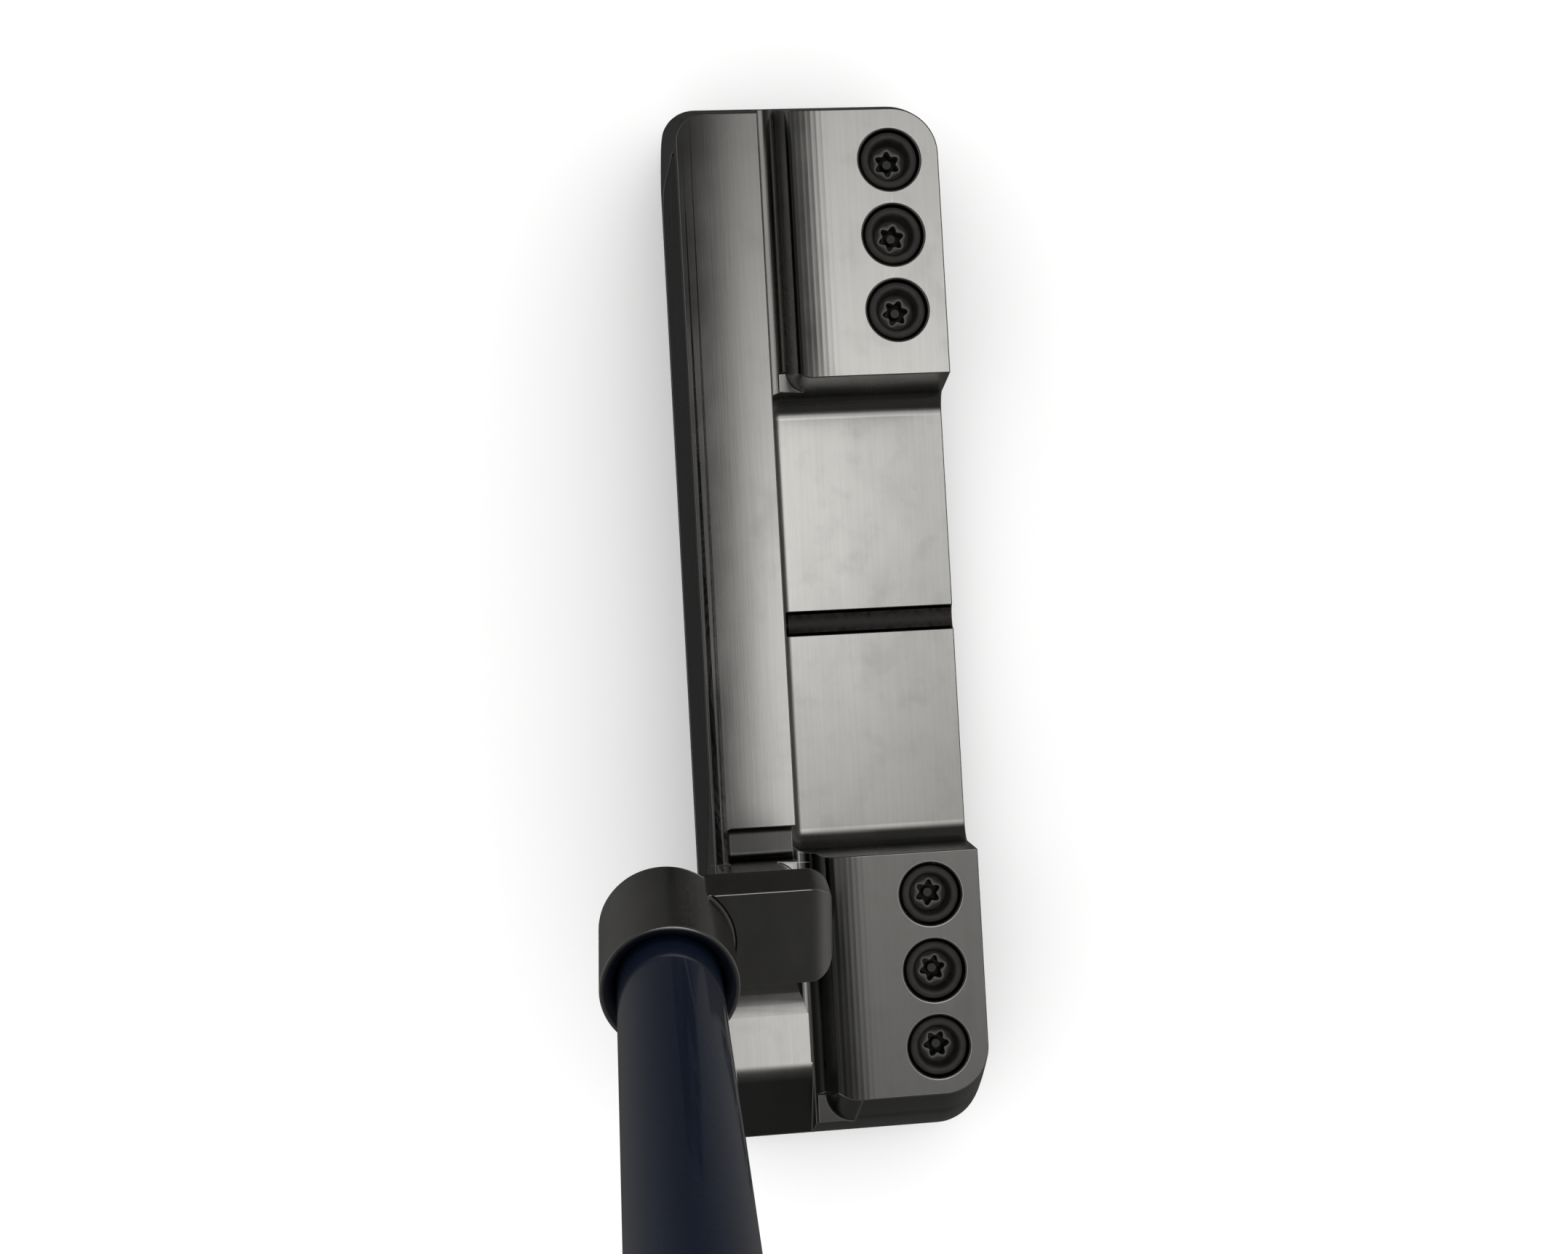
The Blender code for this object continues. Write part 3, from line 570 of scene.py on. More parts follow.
def onlyWhere(tree, mask, value):
    # the value inside the mask, and 1 outside it
    return addNode(tree, "ShaderNodeMix", {"Factor": mask, "A": 1.0, "B": value}).outputs[0]


def startMaterial(name, **constants):
    material = bpy.data.materials.new(name)
    material.use_nodes = True
    tree = material.node_tree
    shader = tree.nodes["Principled BSDF"]
    for key, value in constants.items():
        shader.inputs[key.replace("_", " ")].default_value = value
    return material, tree, shader


def objectPattern(tree, scale, turn=(0, 0, 0), detail=3.0, roughness=0.5):
    # noise on Object coordinates, stretched by scale and turned
    place = addNode(tree, "ShaderNodeTexCoord").outputs["Object"]
    mapped = addNode(tree, "ShaderNodeMapping", {"Vector": place, "Rotation": turn, "Scale": scale})
    noise = addNode(tree, "ShaderNodeTexNoise", {"Vector": mapped.outputs[0], "Scale": 1.0,
                                                 "Detail": detail, "Roughness": roughness})
    return noise.outputs["Fac"]


def remap(tree, value, low, high, fromLow=0.3, fromHigh=0.7):
    made = addNode(tree, "ShaderNodeMapRange", (value, fromLow, fromHigh, low, high))
    return made.outputs[0]


def tint(tree, value, colour):
    # a colour scaled by a value
    made = addNode(tree, "ShaderNodeVectorMath", (colour,), operation="SCALE")
    tree.links.new(value, made.inputs["Scale"])
    return made.outputs[0]


def bumpFrom(tree, height, strength, distance):
    made = addNode(tree, "ShaderNodeBump", {"Strength": strength, "Distance": distance, "Height": height})
    return made.outputs[0]


def attributeOf(tree, name):
    return addNode(tree, "ShaderNodeAttribute", attribute_name=name).outputs["Fac"]


def objectAxes(tree):
    place = addNode(tree, "ShaderNodeTexCoord").outputs["Object"]
    return addNode(tree, "ShaderNodeSeparateXYZ", (place,)).outputs


def surface(tree, shader, colour, rough, normal=None):
    for value, name in ((colour, "Base Color"), (rough, "Roughness"), (normal, "Normal")):
        if value is not None:
            tree.links.new(value, shader.inputs[name])


# finishes

# the last entry is the tone of the painted highlight on rounded edges
steelLook = {"roughLow": 0.20, "roughHigh": 0.30, "lineDepth": 0.0000035, "edgeHighlightTone": 0.5}


def flangePaintedShade(tree):
    # painted light and shade: the flange is painted lighter towards its front and the toe, and darker towards
    # its back and the heel
    axes = objectAxes(tree)
    back = remap(tree, axes["Y"], 1.10, 0.84, -0.004, 0.014)
    along = remap(tree, axes["X"], 1.10, 0.86, -0.022, 0.020)
    low = maths(tree, "LESS_THAN", axes["Z"], hs("flangeHeight") + slack)
    return onlyWhere(tree, low, times(tree, back, along))


def toplinePaintedLight(tree):
    # painted light: the topline is painted brighter towards the heel
    along = remap(tree, objectAxes(tree)["X"], 0.70, 1.30, -0.056, 0.022)
    return onlyWhere(tree, attributeOf(tree, "crown"), along)


def makeSteel():
    material, tree, shader = startMaterial("milledSteel", Metallic=1.0)
    # the tone attribute carries each part's brightness, its painted light and shade included
    tone = attributeOf(tree, "tone")
    wearAndHighlight = attributeOf(tree, "wearAndHighlight")
    clouds = objectPattern(tree, (70, 110, 70), detail=4, roughness=0.6)
    streaks = objectPattern(tree, (60, 2600, 900), turn=(0, 0, 0.1), detail=2)
    smudges = objectPattern(tree, (260, 260, 260), detail=5, roughness=0.6)
    # random clouds, streaks and smudges in the steel, then the painted shade on the flange and the painted
    # light on the topline
    for share in (remap(tree, clouds, 0.9, 1.1), remap(tree, streaks, 0.975, 1.025),
                  remap(tree, smudges, 0.96, 1.0, 0.24, 0.5), flangePaintedShade(tree), toplinePaintedLight(tree)):
        tone = times(tree, tone, share)
    # painted highlight: the rounded edges are painted at least this bright
    tone = maths(tree, "MAXIMUM", tone, times(tree, wearAndHighlight, steelLook["edgeHighlightTone"]))
    rough = maths(tree, "ADD", remap(tree, clouds, 0.0, steelLook["roughHigh"] - steelLook["roughLow"]),
                  remap(tree, smudges, steelLook["roughLow"] + 0.02, steelLook["roughLow"], 0.3, 0.5))
    lines = objectPattern(tree, (160, 7500, 2500), turn=(0, 0, 0.12), detail=1)
    surface(tree, shader, tint(tree, tone, (1.0, 0.99, 0.965)), rough,
            bumpFrom(tree, lines, 0.6, steelLook["lineDepth"]))
    return material


def makeBlackOxide():
    material, tree, shader = startMaterial("blackOxide", Metallic=0.25, Specular_IOR_Level=0.3)
    wearAndHighlight = attributeOf(tree, "wearAndHighlight")
    grime = objectPattern(tree, (900, 900, 900), detail=4)
    # the rims and star edges are lighter: wear on the oxide, and a painted highlight
    tone = maths(tree, "ADD", remap(tree, grime, 0.008, 0.016), times(tree, wearAndHighlight, 0.16))
    surface(tree, shader, tint(tree, tone, (1.0, 0.95, 0.90)), remap(tree, grime, 0.34, 0.52),
            bumpFrom(tree, grime, 0.5, 0.00002))
    return material


def makePlain(name, scale, detail, shades, colour, roughs, bump=None, **constants):
    # a finish whose colour, roughness and bump all follow one pattern
    material, tree, shader = startMaterial(name, **constants)
    grain = objectPattern(tree, scale, detail=detail)
    surface(tree, shader, tint(tree, remap(tree, grain, *shades), colour), remap(tree, grain, *roughs),
            bumpFrom(tree, grain, *bump) if bump else None)
    return material


def makeFaceBlack():
    material, tree, shader = startMaterial("blackAluminium", Metallic=0.5)
    mottle = objectPattern(tree, (300, 300, 300), detail=5)
    place = addNode(tree, "ShaderNodeTexCoord").outputs["Object"]
    rings = addNode(tree, "ShaderNodeTexWave", {"Vector": place, "Scale": 420.0, "Distortion": 0.0},
                    wave_type="RINGS", rings_direction="Y")
    surface(tree, shader, tint(tree, remap(tree, mottle, 0.008, 0.022), (1, 1, 1.05)),
            remap(tree, mottle, 0.4, 0.6), bumpFrom(tree, rings.outputs["Fac"], 0.7, 0.00012))
    return material


def makeNavy():
    material, tree, shader = startMaterial("navyCoating", Coat_Weight=1.0, Coat_Roughness=0.06,
                                           Coat_IOR=1.6, Metallic=0.35)
    depth = objectPattern(tree, (60, 60, 12), detail=3)
    flakes = objectPattern(tree, (5200, 5200, 5200), detail=1)
    tone = times(tree, remap(tree, depth, 0.85, 1.15), remap(tree, flakes, 0.8, 1.25))
    surface(tree, shader, tint(tree, tone, (0.0065, 0.0115, 0.028)), remap(tree, depth, 0.24, 0.34),
            bumpFrom(tree, flakes, 0.15, 0.00002))
    return material


def makeRubber():
    material, tree, shader = startMaterial("gripRubber")
    grain = objectPattern(tree, (1500, 1500, 1500), detail=4, roughness=0.6)
    patches = objectPattern(tree, (40, 40, 14), detail=4)
    tone = times(tree, remap(tree, grain, 0.75, 1.2), remap(tree, patches, 0.85, 1.15))
    surface(tree, shader, tint(tree, tone, (0.022, 0.023, 0.026)), remap(tree, patches, 0.58, 0.74),
            bumpFrom(tree, grain, 0.5, 0.0001))
    return material


finish = {
    "steel": makeSteel(),
    "oxide": makeBlackOxide(),
    "enamel": makePlain("blackEnamel", (1400, 1400, 1400), 3, (0.006, 0.016), (1.0, 0.9, 0.8), (0.25, 0.45),
                        (0.4, 0.00002), Coat_Weight=0.08, Coat_Roughness=0.3, Specular_IOR_Level=0.2),
    "face": makeFaceBlack(),
    "navy": makeNavy(),
    "rubber": makeRubber(),
    "cap": makePlain("capPlastic", (2600, 2600, 2600), 3, (0.022, 0.032), (1, 1, 1.05), (0.38, 0.5),
                     (0.35, 0.00004)),
    "tape": makePlain("paperTape", (500, 500, 2400), 3, (0.85, 1.08), (0.66, 0.6, 0.47), (0.75, 0.9),
                      (0.6, 0.00006)),
    "polymer": makePlain("darkPolymer", (1800, 1800, 1800), 3, (0.024, 0.036), (1, 1, 1), (0.5, 0.65)),
}
print("finishes made")

milledHead = makeHead()
cleanHead(milledHead)
milledHead.data.transform(originShift)
smoothShade(milledHead)
curveTopline(milledHead)
dress(milledHead, finish["steel"], "head_body", "club")
print("head made")


# face insert

insertLook = {"thickness": 2.2, "gap": 0.3, "edge": 0.18}


def makeInsert():
    mesh = prism(faceOutline(insertLook["gap"] * mm), "XZ", 0, insertLook["thickness"] * mm)
    roundEdges(mesh, insertLook["edge"] * mm, lambda e: e.calc_face_angle() > math.radians(60), 3)
    mesh.transform(originShift @ facePlace)
    return smoothItem("faceInsert", mesh)


dress(makeInsert(), finish["face"], "face_insert", "club")
coat(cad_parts["insert_backing"], finish["polymer"])


# sight line: enamel that has sunk a little in its groove

sight = {"radius": 1.12, "edgeSink": 0.2, "sink": 0.42, "start": 12.3, "back": 32.08, "steps": 24}


def makeSightLine():
    radius = sight["radius"] * mm
    start = math.degrees(math.asin(-sight["edgeSink"] / sight["radius"]))
    outline = arcPoints((0, 0), radius, start, -180 - start, sight["steps"])
    left, right = outline[-1], outline[0]
    for i in range(1, sight["steps"]):
        share = i / sight["steps"]
        dip = 4 * share * (1 - share) * (sight["sink"] - sight["edgeSink"]) * mm
        outline.append((left[0] + (right[0] - left[0]) * share, left[1] - dip))
    mesh = prism(outline, "XZ", sight["start"] * mm, sight["back"] * mm)
    mesh.transform(originShift @ Matrix.Translation((grooveMiddle, 0, hs("flangeHeight"))))
    return smoothItem("sightLineEnamel", mesh)


dress(makeSightLine(), finish["enamel"], "sight_line", "club")


# weight screws: one tree turns the profile and cuts the star

weight = {
    "segments": 96, "lobes": 6, "lobeDepth": 0.16, "sink": 0.2,
    "threadTop": -1.6, "threadEnd": -7.4, "threadPitch": 0.58, "threadDepth": 0.2,
    "radius": 3.2, "merge": 0.002,
    # radius, height, how much of the star it follows, how much wear and painted highlight it takes
    "profile": [
        (0, -1.75, 0, 0.1), (0.38, -1.75, 0, 0.15), (0.48, -1.82, 0, 0.5), (0.5, -1.95, 0, 0),
        (0.5, -3.04, 0, 0), (0.6, -3.1, 0, 0), (1.3, -3.1, 1, 0), (1.42, -3.02, 1, 0),
        (1.45, -2.8, 1, 0), (1.45, -1.66, 1, 0.1),
        (1.50, -1.55, 1, 0.8), (1.60, -1.50, 0.8, 0.5), (1.75, -1.49, 0.3, 0), (1.9, -1.46, 0, 0),
        (2.02, -1.34, 0, 0), (2.1, -1.15, 0, 0), (2.28, -0.4, 0, 0), (2.36, -0.18, 0, 0.05),
        (2.48, -0.05, 0, 0.1), (2.62, 0, 0, 0.1), (2.84, 0, 0, 0.05), (2.96, -0.03, 0, 0.1),
        (3.1, -0.12, 0, 0.1), (3.2, -0.3, 0, 0),
    ],
    "tip": [(3.2, -7.7, 0, 0.1), (2.9, -8.0, 0, 0), (0, -8.0, 0, 0)],
}


def weightProfile():
    rows = list(weight["profile"])
    radius, height = weight["radius"], weight["threadTop"]
    root = radius - weight["threadDepth"]
    while height > weight["threadEnd"]:
        step = weight["threadPitch"] / 4
        rows += [(radius, height, 0, 0.2), (root, height - step, 0, 0), (root, height - 1.6 * step, 0, 0),
                 (radius, height - 2.8 * step, 0, 0.2)]
        height -= weight["threadPitch"]
    rows += weight["tip"]
    points = [(row[0] * mm, 0, row[1] * mm) for row in rows]
    mesh = bpy.data.meshes.new("weightProfile")
    mesh.from_pydata(points, [(i, i + 1) for i in range(len(rows) - 1)], [])
    for name, index in (("lobe", 2), ("wearAndHighlight", 3)):
        layer = mesh.attributes.new(name, "FLOAT", "POINT")
        layer.data.foreach_set("value", [float(row[index]) for row in rows])
    return mesh


def startTree(name, inputs):
    tree = bpy.data.node_groups.new(name, "GeometryNodeTree")
    sockets = {}
    tree.interface.new_socket("Geometry", in_out="INPUT", socket_type="NodeSocketGeometry")
    tree.interface.new_socket("Geometry", in_out="OUTPUT", socket_type="NodeSocketGeometry")
    for label, kind in inputs:
        sockets[label] = tree.interface.new_socket(label, in_out="INPUT", socket_type=kind).identifier
    return tree, tree.nodes.new("NodeGroupInput").outputs, sockets


def endTree(tree, shape, given):
    real = addNode(tree, "GeometryNodeRealizeInstances", (shape,)).outputs[0]
    done = addNode(tree, "GeometryNodeSetMaterial", {"Geometry": real, "Material": given["Finish"]})
    tree.links.new(done.outputs[0], tree.nodes.new("NodeGroupOutput").inputs[0])


def runTree(name, mesh, tree, sockets, values):
    item = linkItem(name, mesh)
    modifier = item.modifiers.new("nodes", "NODES")
    modifier.node_group = tree
    for label, value in values.items():
        modifier[sockets[label]] = value
    applyModifiers(item)
    return item


def weightTree():
    tree, given, sockets = startTree("weightScrew", [
        ("Segments", "NodeSocketInt"), ("Lobes", "NodeSocketInt"), ("Lobe depth", "NodeSocketFloat"),
        ("Turn", "NodeSocketFloat"), ("Place", "NodeSocketVector"), ("Finish", "NodeSocketMaterial")])
    profile = given["Geometry"]
    counts = addNode(tree, "GeometryNodeAttributeDomainSize", (profile,), component="MESH").outputs
    rows = counts["Point Count"]
    columns = maths(tree, "ADD", given["Segments"], 1.0)
    sheet = addNode(tree, "GeometryNodeMeshGrid", {"Vertices X": rows, "Vertices Y": columns}).outputs[0]
    index = addNode(tree, "GeometryNodeInputIndex").outputs[0]
    row = maths(tree, "FLOOR", maths(tree, "DIVIDE", maths(tree, "ADD", index, 0.5), columns))
    column = maths(tree, "SUBTRACT", index, times(tree, row, columns))
    angle = times(tree, maths(tree, "DIVIDE", column, given["Segments"]), 2 * math.pi)

    def sampled(value, kind):
        made = addNode(tree, "GeometryNodeSampleIndex", (), data_type=kind, domain="POINT", clamp=True)
        tree.links.new(profile, made.inputs["Geometry"])
        tree.links.new(value, made.inputs["Value"])
        tree.links.new(row, made.inputs["Index"])
        return made.outputs[0]

    def named(name):
        return addNode(tree, "GeometryNodeInputNamedAttribute", (name,), data_type="FLOAT").outputs[0]
    onProfile = sampled(addNode(tree, "GeometryNodeInputPosition").outputs[0], "FLOAT_VECTOR")
    spot = addNode(tree, "ShaderNodeSeparateXYZ", (onProfile,)).outputs
    star = times(tree, maths(tree, "ADD", angle, given["Turn"]), given["Lobes"])
    wave = maths(tree, "SUBTRACT", maths(tree, "COSINE", star), 1.0)
    lobe = times(tree, sampled(named("lobe"), "FLOAT"), given["Lobe depth"])
    lobe = times(tree, lobe, wave)
    radius = times(tree, spot["X"], maths(tree, "ADD", lobe, 1.0))
    place = addNode(tree, "ShaderNodeCombineXYZ", (
        times(tree, radius, maths(tree, "COSINE", angle)),
        times(tree, radius, maths(tree, "SINE", angle)), spot["Z"])).outputs[0]
    place = addNode(tree, "ShaderNodeVectorMath", (place, given["Place"]), operation="ADD").outputs[0]
    # sampled before the points move, so the wear and painted highlight stay with its row
    kept = addNode(tree, "GeometryNodeStoreNamedAttribute", data_type="FLOAT", domain="POINT")
    kept.inputs["Name"].default_value = "wearAndHighlight"
    tree.links.new(sheet, kept.inputs["Geometry"])
    tree.links.new(sampled(named("wearAndHighlight"), "FLOAT"), kept.inputs["Value"])
    moved = addNode(tree, "GeometryNodeSetPosition", {"Geometry": kept.outputs[0], "Position": place})
    merged = addNode(tree, "GeometryNodeMergeByDistance",
                     {"Geometry": moved.outputs[0], "Distance": weight["merge"] * mm})
    endTree(tree, merged.outputs[0], given)
    return tree, sockets


def fixNormals(item):
    bm = bmesh.new()
    bm.from_mesh(item.data)
    bmesh.ops.recalc_face_normals(bm, faces=bm.faces)
    bm.to_mesh(item.data)
    print(item.name, "faces", len(bm.faces), "open edges", sum(1 for e in bm.edges if not e.is_manifold))
    bm.free()


screwTree, screwSockets = weightTree()
starTurns = {"toe": (0.0, 0.22, 0.38), "heel": (0.12, 0.3, 0.47)}
for node, place in screwPlaces():
    side, number = node.split("_")[0], int(node[-1])
    top = originShift @ (place + Vector((0, 0, hs("bumperHeight") - weight["sink"] * mm)))
    made = runTree(f"{side}Weight{number}", weightProfile(), screwTree, screwSockets, {
        "Segments": weight["segments"], "Lobes": weight["lobes"], "Lobe depth": weight["lobeDepth"],
        "Turn": starTurns[side][number - 1], "Place": top, "Finish": finish["oxide"]})
    fixNormals(made)
    smoothShade(made)
    dress(made, finish["oxide"], node, node)
print("weights made")


# shaft, tape, grip and cap

shaft = {
    "tipRadius": 4.56, "buttRadius": 7.35, "wall": 0.9, "tipParallel": 230, "taper": 260,
    "clubLength": 864, "steps": 144, "capThickness": 3.0, "capPlug": 7.0, "gap": 0.3,
    "easeLength": 12, "easeDepth": 0.04,
}
grip = {
    "length": 262, "flat": 0.80, "flatBulge": 0.12, "steps": 120, "rows": 90,
    # shares of the length: extra rows at the mouth, and where the skin under the studs begins and ends
    "mouthRows": {0.0, 0.002, 0.005, 0.008, 0.013, 0.02},
    "skinStart": 0.022, "skinEnd": 0.985, "skinDrop": 0.35,
    "stations": [(0.0, 9.8), (0.008, 10.7), (0.02, 11.0), (0.3, 11.7), (0.6, 12.6), (0.8, 13.1), (1.0, 13.6)],
    "bore": 8.25, "studRows": 56, "studColumns": 22, "studRadius": 1.05, "studHeight": 0.34,
    "studTop": 0.72, "studStart": 0.04, "studSpan": 0.93, "studSink": 0.02, "studFree": -0.72,
}
cap = {
    "vent": 1.6, "plugEdge": 0.5, "lowInset": 0.15, "lowEdge": 0.2,
    # the rim: how far inside the grip and how far below the top; the dish: radius and depth
    "rim": [(0.15, 1.2), (0.45, 0.6), (0.9, 0.2), (1.5, 0)],
    "dish": [(6.2, 0), (5.9, 0.25), (2.3, 0.25), (1.6, 0.7)],
}
shaftWorld = originShift @ shaftPlace
buttEnd = shaft["clubLength"] - head["rim"][2] / math.sin(lie)


def makeShaft():
    top = buttEnd - shaft["capThickness"] - shaft["capPlug"] - 2 * shaft["gap"]
    butt, tip, ease = shaft["buttRadius"], shaft["tipRadius"], shaft["easeLength"]
    taperLow, taperHigh = shaft["tipParallel"], shaft["tipParallel"] + shaft["taper"]
    # the taper is eased into the straight parts
    outer = [
        (butt, top), (butt, taperHigh), (butt - shaft["easeDepth"], taperHigh - ease),
        (tip + shaft["easeDepth"], taperLow + ease), (tip, taperLow), (tip, shaft["gap"] - head["boreDepth"]),
    ]
    inner = [(r - shaft["wall"], h) for r, h in outer]
    profile = [(r * mm, h * mm) for r, h in outer + inner[::-1] + outer[:1]]
    bm = turned(profile, shaft["steps"])
    bmesh.ops.remove_doubles(bm, verts=bm.verts, dist=closeBy)
    mesh = meshFrom("steelShaft", bm)
    mesh.transform(shaftWorld)
    return smoothItem("steelShaft", mesh)


def gripRadius(share):
    known = grip["stations"]
    for (a, ra), (b, rb) in zip(known, known[1:]):
        if share <= b:
            return ra + (rb - ra) * (share - a) / (b - a)
    return known[-1][1]


def gripSection(radius, height, steps, drop=0.0):
    # round, with a flat for the thumbs on -X
    flat = -grip["flat"] * radius
    ring = []
    for i in range(steps):
        turn = 2 * math.pi * (i + 0.5) / steps
        x, y = radius * math.cos(turn), radius * math.sin(turn)
        if x < flat:
            x = flat + (x - flat) * grip["flatBulge"]
        shrink = 1 - drop / radius
        ring.append(Vector((x * shrink, y * shrink, height)) * mm)
    return ring


def loftRings(sections):
    # a closed loop of rings: the outer surface, and back through the bore
    bm = bmesh.new()
    rings = [[bm.verts.new(p) for p in section] for section in sections]
    bridge(bm, rings + rings[:1])
    return bm


def gripSpan():
    return buttEnd - grip["length"], buttEnd - shaft["capThickness"] - shaft["gap"]


def circleRing(radius, height, steps):
    turns = [2 * math.pi * (i + 0.5) / steps for i in range(steps)]
    return [Vector((radius * math.cos(a), radius * math.sin(a), height)) * mm for a in turns]


def makeGrip():
    low, high = gripSpan()
    steps = grip["steps"]
    even = {i / grip["rows"] for i in range(1, grip["rows"] + 1)}
    sections = []
    for share in sorted(grip["mouthRows"] | even):
        band = 0.0 if share < grip["skinStart"] or share > grip["skinEnd"] else grip["skinDrop"]
        sections.append(gripSection(gripRadius(share), low + share * (high - low), steps, band))
    sections.append(circleRing(grip["bore"], high, steps))
    sections.append(circleRing(grip["bore"], low, steps))
    mesh = meshFrom("rubberGrip", loftRings(sections))
    mesh.transform(shaftWorld)
    return smoothItem("rubberGrip", mesh)


def studLayout():
    # a coarse sheet round the grip: one stud stands on each of its faces
    low, high = gripSpan()
    rows, columns = grip["studRows"], grip["studColumns"]
    bm = bmesh.new()
    for row in range(rows):
        share = grip["studStart"] + grip["studSpan"] * row / (rows - 1)
        height = low + share * (high - low)
        radius = gripRadius(share)
        for column in range(columns):
            turn = 2 * math.pi * (column + 0.5 * (row % 2)) / columns
            if math.cos(turn) < grip["studFree"]:
                continue
            out = Vector((math.cos(turn), math.sin(turn), 0))
            side = Vector((-math.sin(turn), math.cos(turn), 0))
            up = Vector((0, 0, 1))
            at = out * (radius - grip["skinDrop"] - grip["studSink"]) + up * height
            corners = [at - side - up, at + side - up, at + side + up, at - side + up]
            bm.faces.new([bm.verts.new(c * mm) for c in corners])
    mesh = bpy.data.meshes.new("studLayout")
    bm.to_mesh(mesh)
    bm.free()
    return mesh


def studTree():
    tree, given, sockets = startTree("gripStuds", [
        ("Stud radius", "NodeSocketFloat"), ("Stud height", "NodeSocketFloat"),
        ("Shaft way", "NodeSocketVector"), ("Finish", "NodeSocketMaterial")])
    facing = addNode(tree, "GeometryNodeCaptureAttribute", domain="FACE")
    facing.capture_items.new("VECTOR", "Facing")
    tree.links.new(given["Geometry"], facing.inputs["Geometry"])
    tree.links.new(addNode(tree, "GeometryNodeInputNormal").outputs[0], facing.inputs[1])
    spots = addNode(tree, "GeometryNodeMeshToPoints", {"Mesh": facing.outputs[0]}, mode="FACES").outputs[0]
    turn = addNode(tree, "FunctionNodeAlignRotationToVector", {"Vector": facing.outputs[1]}, axis="Z")
    turn = addNode(tree, "FunctionNodeAlignRotationToVector",
                   {"Rotation": turn.outputs[0], "Vector": given["Shaft way"]}, axis="X", pivot_axis="Z")
    narrow = times(tree, given["Stud radius"], grip["studTop"])
    stud = addNode(tree, "GeometryNodeMeshCone", {
        "Vertices": 6, "Depth": given["Stud height"],
        "Radius Bottom": given["Stud radius"], "Radius Top": narrow})
    placed = addNode(tree, "GeometryNodeInstanceOnPoints", {"Points": spots, "Instance": stud.outputs[0],
                                                            "Rotation": turn.outputs[0]}).outputs[0]
    endTree(tree, placed, given)
    return tree, sockets


def makeStuds():
    tree, sockets = studTree()
    layout = studLayout()
    item = runTree("gripStuds", layout, tree, sockets, {
        "Stud radius": grip["studRadius"] * mm, "Stud height": grip["studHeight"] * mm,
        "Shaft way": Vector((0, 0, 1)), "Finish": finish["rubber"]})
    item.data.transform(shaftWorld)
    fixNormals(item)
    return item


def makeCap():
    steps = grip["steps"]
    low, high = buttEnd - shaft["capThickness"], buttEnd
    radius, edge = gripRadius(1.0), cap["plugEdge"]
    plug, foot = grip["bore"] - shaft["gap"], low - shaft["capPlug"]
    sections = [
        circleRing(cap["vent"], foot, steps), circleRing(plug - edge, foot, steps),
        circleRing(plug, foot + edge, steps), circleRing(plug, low, steps),
        gripSection(radius - cap["lowInset"], low, steps), gripSection(radius, low + cap["lowEdge"], steps),
    ]
    sections += [gripSection(radius - inset, high - drop, steps) for inset, drop in cap["rim"]]
    sections += [circleRing(wide, high - drop, steps) for wide, drop in cap["dish"]]
    mesh = meshFrom("gripCap", loftRings(sections))
    mesh.transform(shaftWorld)
    return smoothItem("gripCap", mesh)


dress(makeShaft(), finish["navy"], "shaft", "club")
dress(makeGrip(), finish["rubber"], "grip", "club")
dress(makeStuds(), finish["rubber"], None, "club")
dress(makeCap(), finish["cap"], "grip_cap", "club")
coat(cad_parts["grip_tape"], finish["tape"])
print("shaft and grip made")


# floor, light and camera

studio = {
    "fill": 3.4, "fillSpread": 170, "ambient": 0.05, "horizon": 0.16,
    # tilt from straight up towards +X and +Y in degrees, full and faded radius, strength
    "glows": [(-12, 9, 4, 18, 0.95), (6, 8, 6, 20, 0.75)],
    # how the horizon's light falls off to the sides, and between which heights it fades
    "sidePower": 1.5, "fadeHigh": 0.75, "fadeLow": 0.1, "highShare": 0.1,
    "floorSize": 20.0, "domeRadius": 18.0,
}


def makeFloor():
    bm = bmesh.new()
    bmesh.ops.create_grid(bm, x_segments=1, y_segments=1, size=studio["floorSize"])
    item = linkItem("floor", meshFrom("floor", bm))
    material, tree, shader = startMaterial("paleFloor", Roughness=0.85)
    grain = objectPattern(tree, (3, 3, 3), detail=4)
    colour = tint(tree, remap(tree, grain, 0.985, 1.0), (0.94, 0.94, 0.94))
    tree.links.new(colour, shader.inputs["Base Color"])
    item.data.materials.append(material)
    item.visible_glossy = False


def makeBackdrop():
    # a plain white dome that only the camera sees
    bm = bmesh.new()
    bmesh.ops.create_uvsphere(bm, u_segments=48, v_segments=24, radius=studio["domeRadius"])
    item = linkItem("backdrop", meshFrom("backdrop", bm))
    glow = startMaterial("paleBackdrop", Emission_Strength=1.0, Emission_Color=(1, 1, 1, 1))[0]
    item.data.materials.append(glow)
    for ray in ("diffuse", "glossy", "transmission", "volume_scatter", "shadow"):
        setattr(item, "visible_" + ray, False)


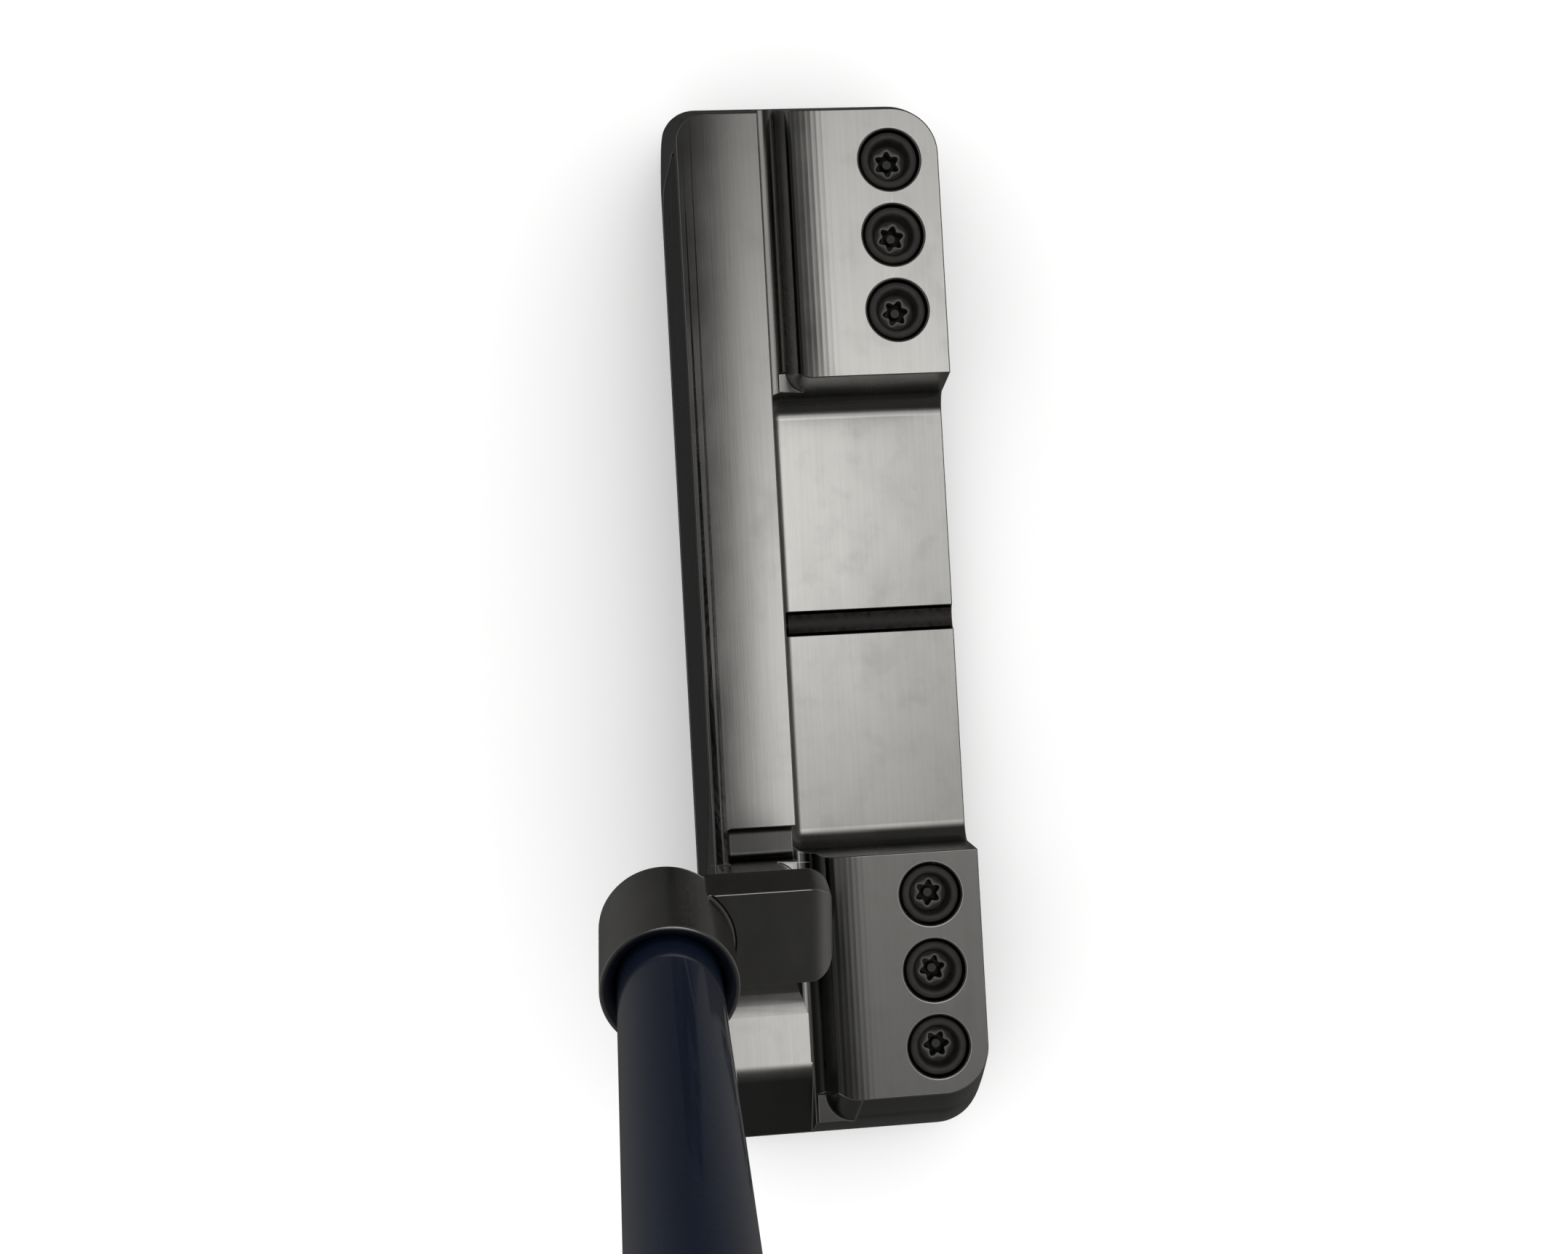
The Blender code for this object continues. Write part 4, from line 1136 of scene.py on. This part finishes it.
def makeWorld():
    world = bpy.data.worlds.new("studio")
    bpy.context.scene.world = world
    world.use_nodes = True
    tree = world.node_tree
    way = addNode(tree, "ShaderNodeTexCoord").outputs["Generated"]
    total = None
    for east, north, full, faded, strength in studio["glows"]:
        aim = Vector((math.tan(math.radians(east)), math.tan(math.radians(north)), 1)).normalized()
        near = addNode(tree, "ShaderNodeVectorMath", (way, aim), operation="DOT_PRODUCT").outputs["Value"]
        outer, inner = math.cos(math.radians(faded)), math.cos(math.radians(full))
        spread = addNode(tree, "ShaderNodeMapRange", (near, outer, inner, 0.0, strength),
                         interpolation_type="SMOOTHSTEP").outputs[0]
        total = spread if total is None else maths(tree, "ADD", total, spread)
    # the room is lighter towards the face and the back, and darker past toe and heel
    axes = addNode(tree, "ShaderNodeSeparateXYZ", (way,)).outputs
    side = maths(tree, "POWER", maths(tree, "ABSOLUTE", axes["Y"]), studio["sidePower"])
    below = remap(tree, axes["Z"], studio["highShare"], 1.0, studio["fadeHigh"], studio["fadeLow"])
    side = times(tree, side, below)
    total = maths(tree, "ADD", total, times(tree, side, studio["horizon"]))
    total = maths(tree, "ADD", total, studio["ambient"])
    tree.links.new(total, tree.nodes["Background"].inputs["Strength"])
    tree.nodes["Background"].inputs["Color"].default_value = (1.0, 0.99, 0.97, 1)


def softLight(name, spread, strength):
    # the overall fill: it lights the floor and the dull finishes, and steel doesn't mirror it
    lamp = bpy.data.lights.new(name, "SUN")
    lamp.energy = strength
    lamp.angle = math.radians(spread)
    linkItem(name, lamp).visible_glossy = False


makeFloor()
makeBackdrop()
makeWorld()
softLight("fillLight", studio["fillSpread"], studio["fill"])

# where the camera stands, and the ways that are right, up and back for it
view = {
    "lens": 38.404, "sensor": 36, "shift": 0.03015, "nearest": 0.005,
    "eye": (0.0103215, -0.0235373, 0.2066096),
    "ways": ((0.05469799, 0.99417054, 0.09291432), (-0.9983274, 0.05270626, 0.02375838),
             (0.01872272, -0.09405845, 0.99539061)),
}


def placeCamera():
    camera = bpy.data.cameras.new("camera")
    camera.lens = view["lens"]
    camera.sensor_width = view["sensor"]
    camera.shift_y = view["shift"]
    camera.clip_start = view["nearest"]
    item = linkItem("camera", camera)
    turn = Matrix(view["ways"]).transposed().to_4x4()
    item.matrix_world = Matrix.Translation(view["eye"]) @ turn
    bpy.context.scene.camera = item
    bpy.context.scene.view_settings.view_transform = "Standard"


placeCamera()

print("scene made")
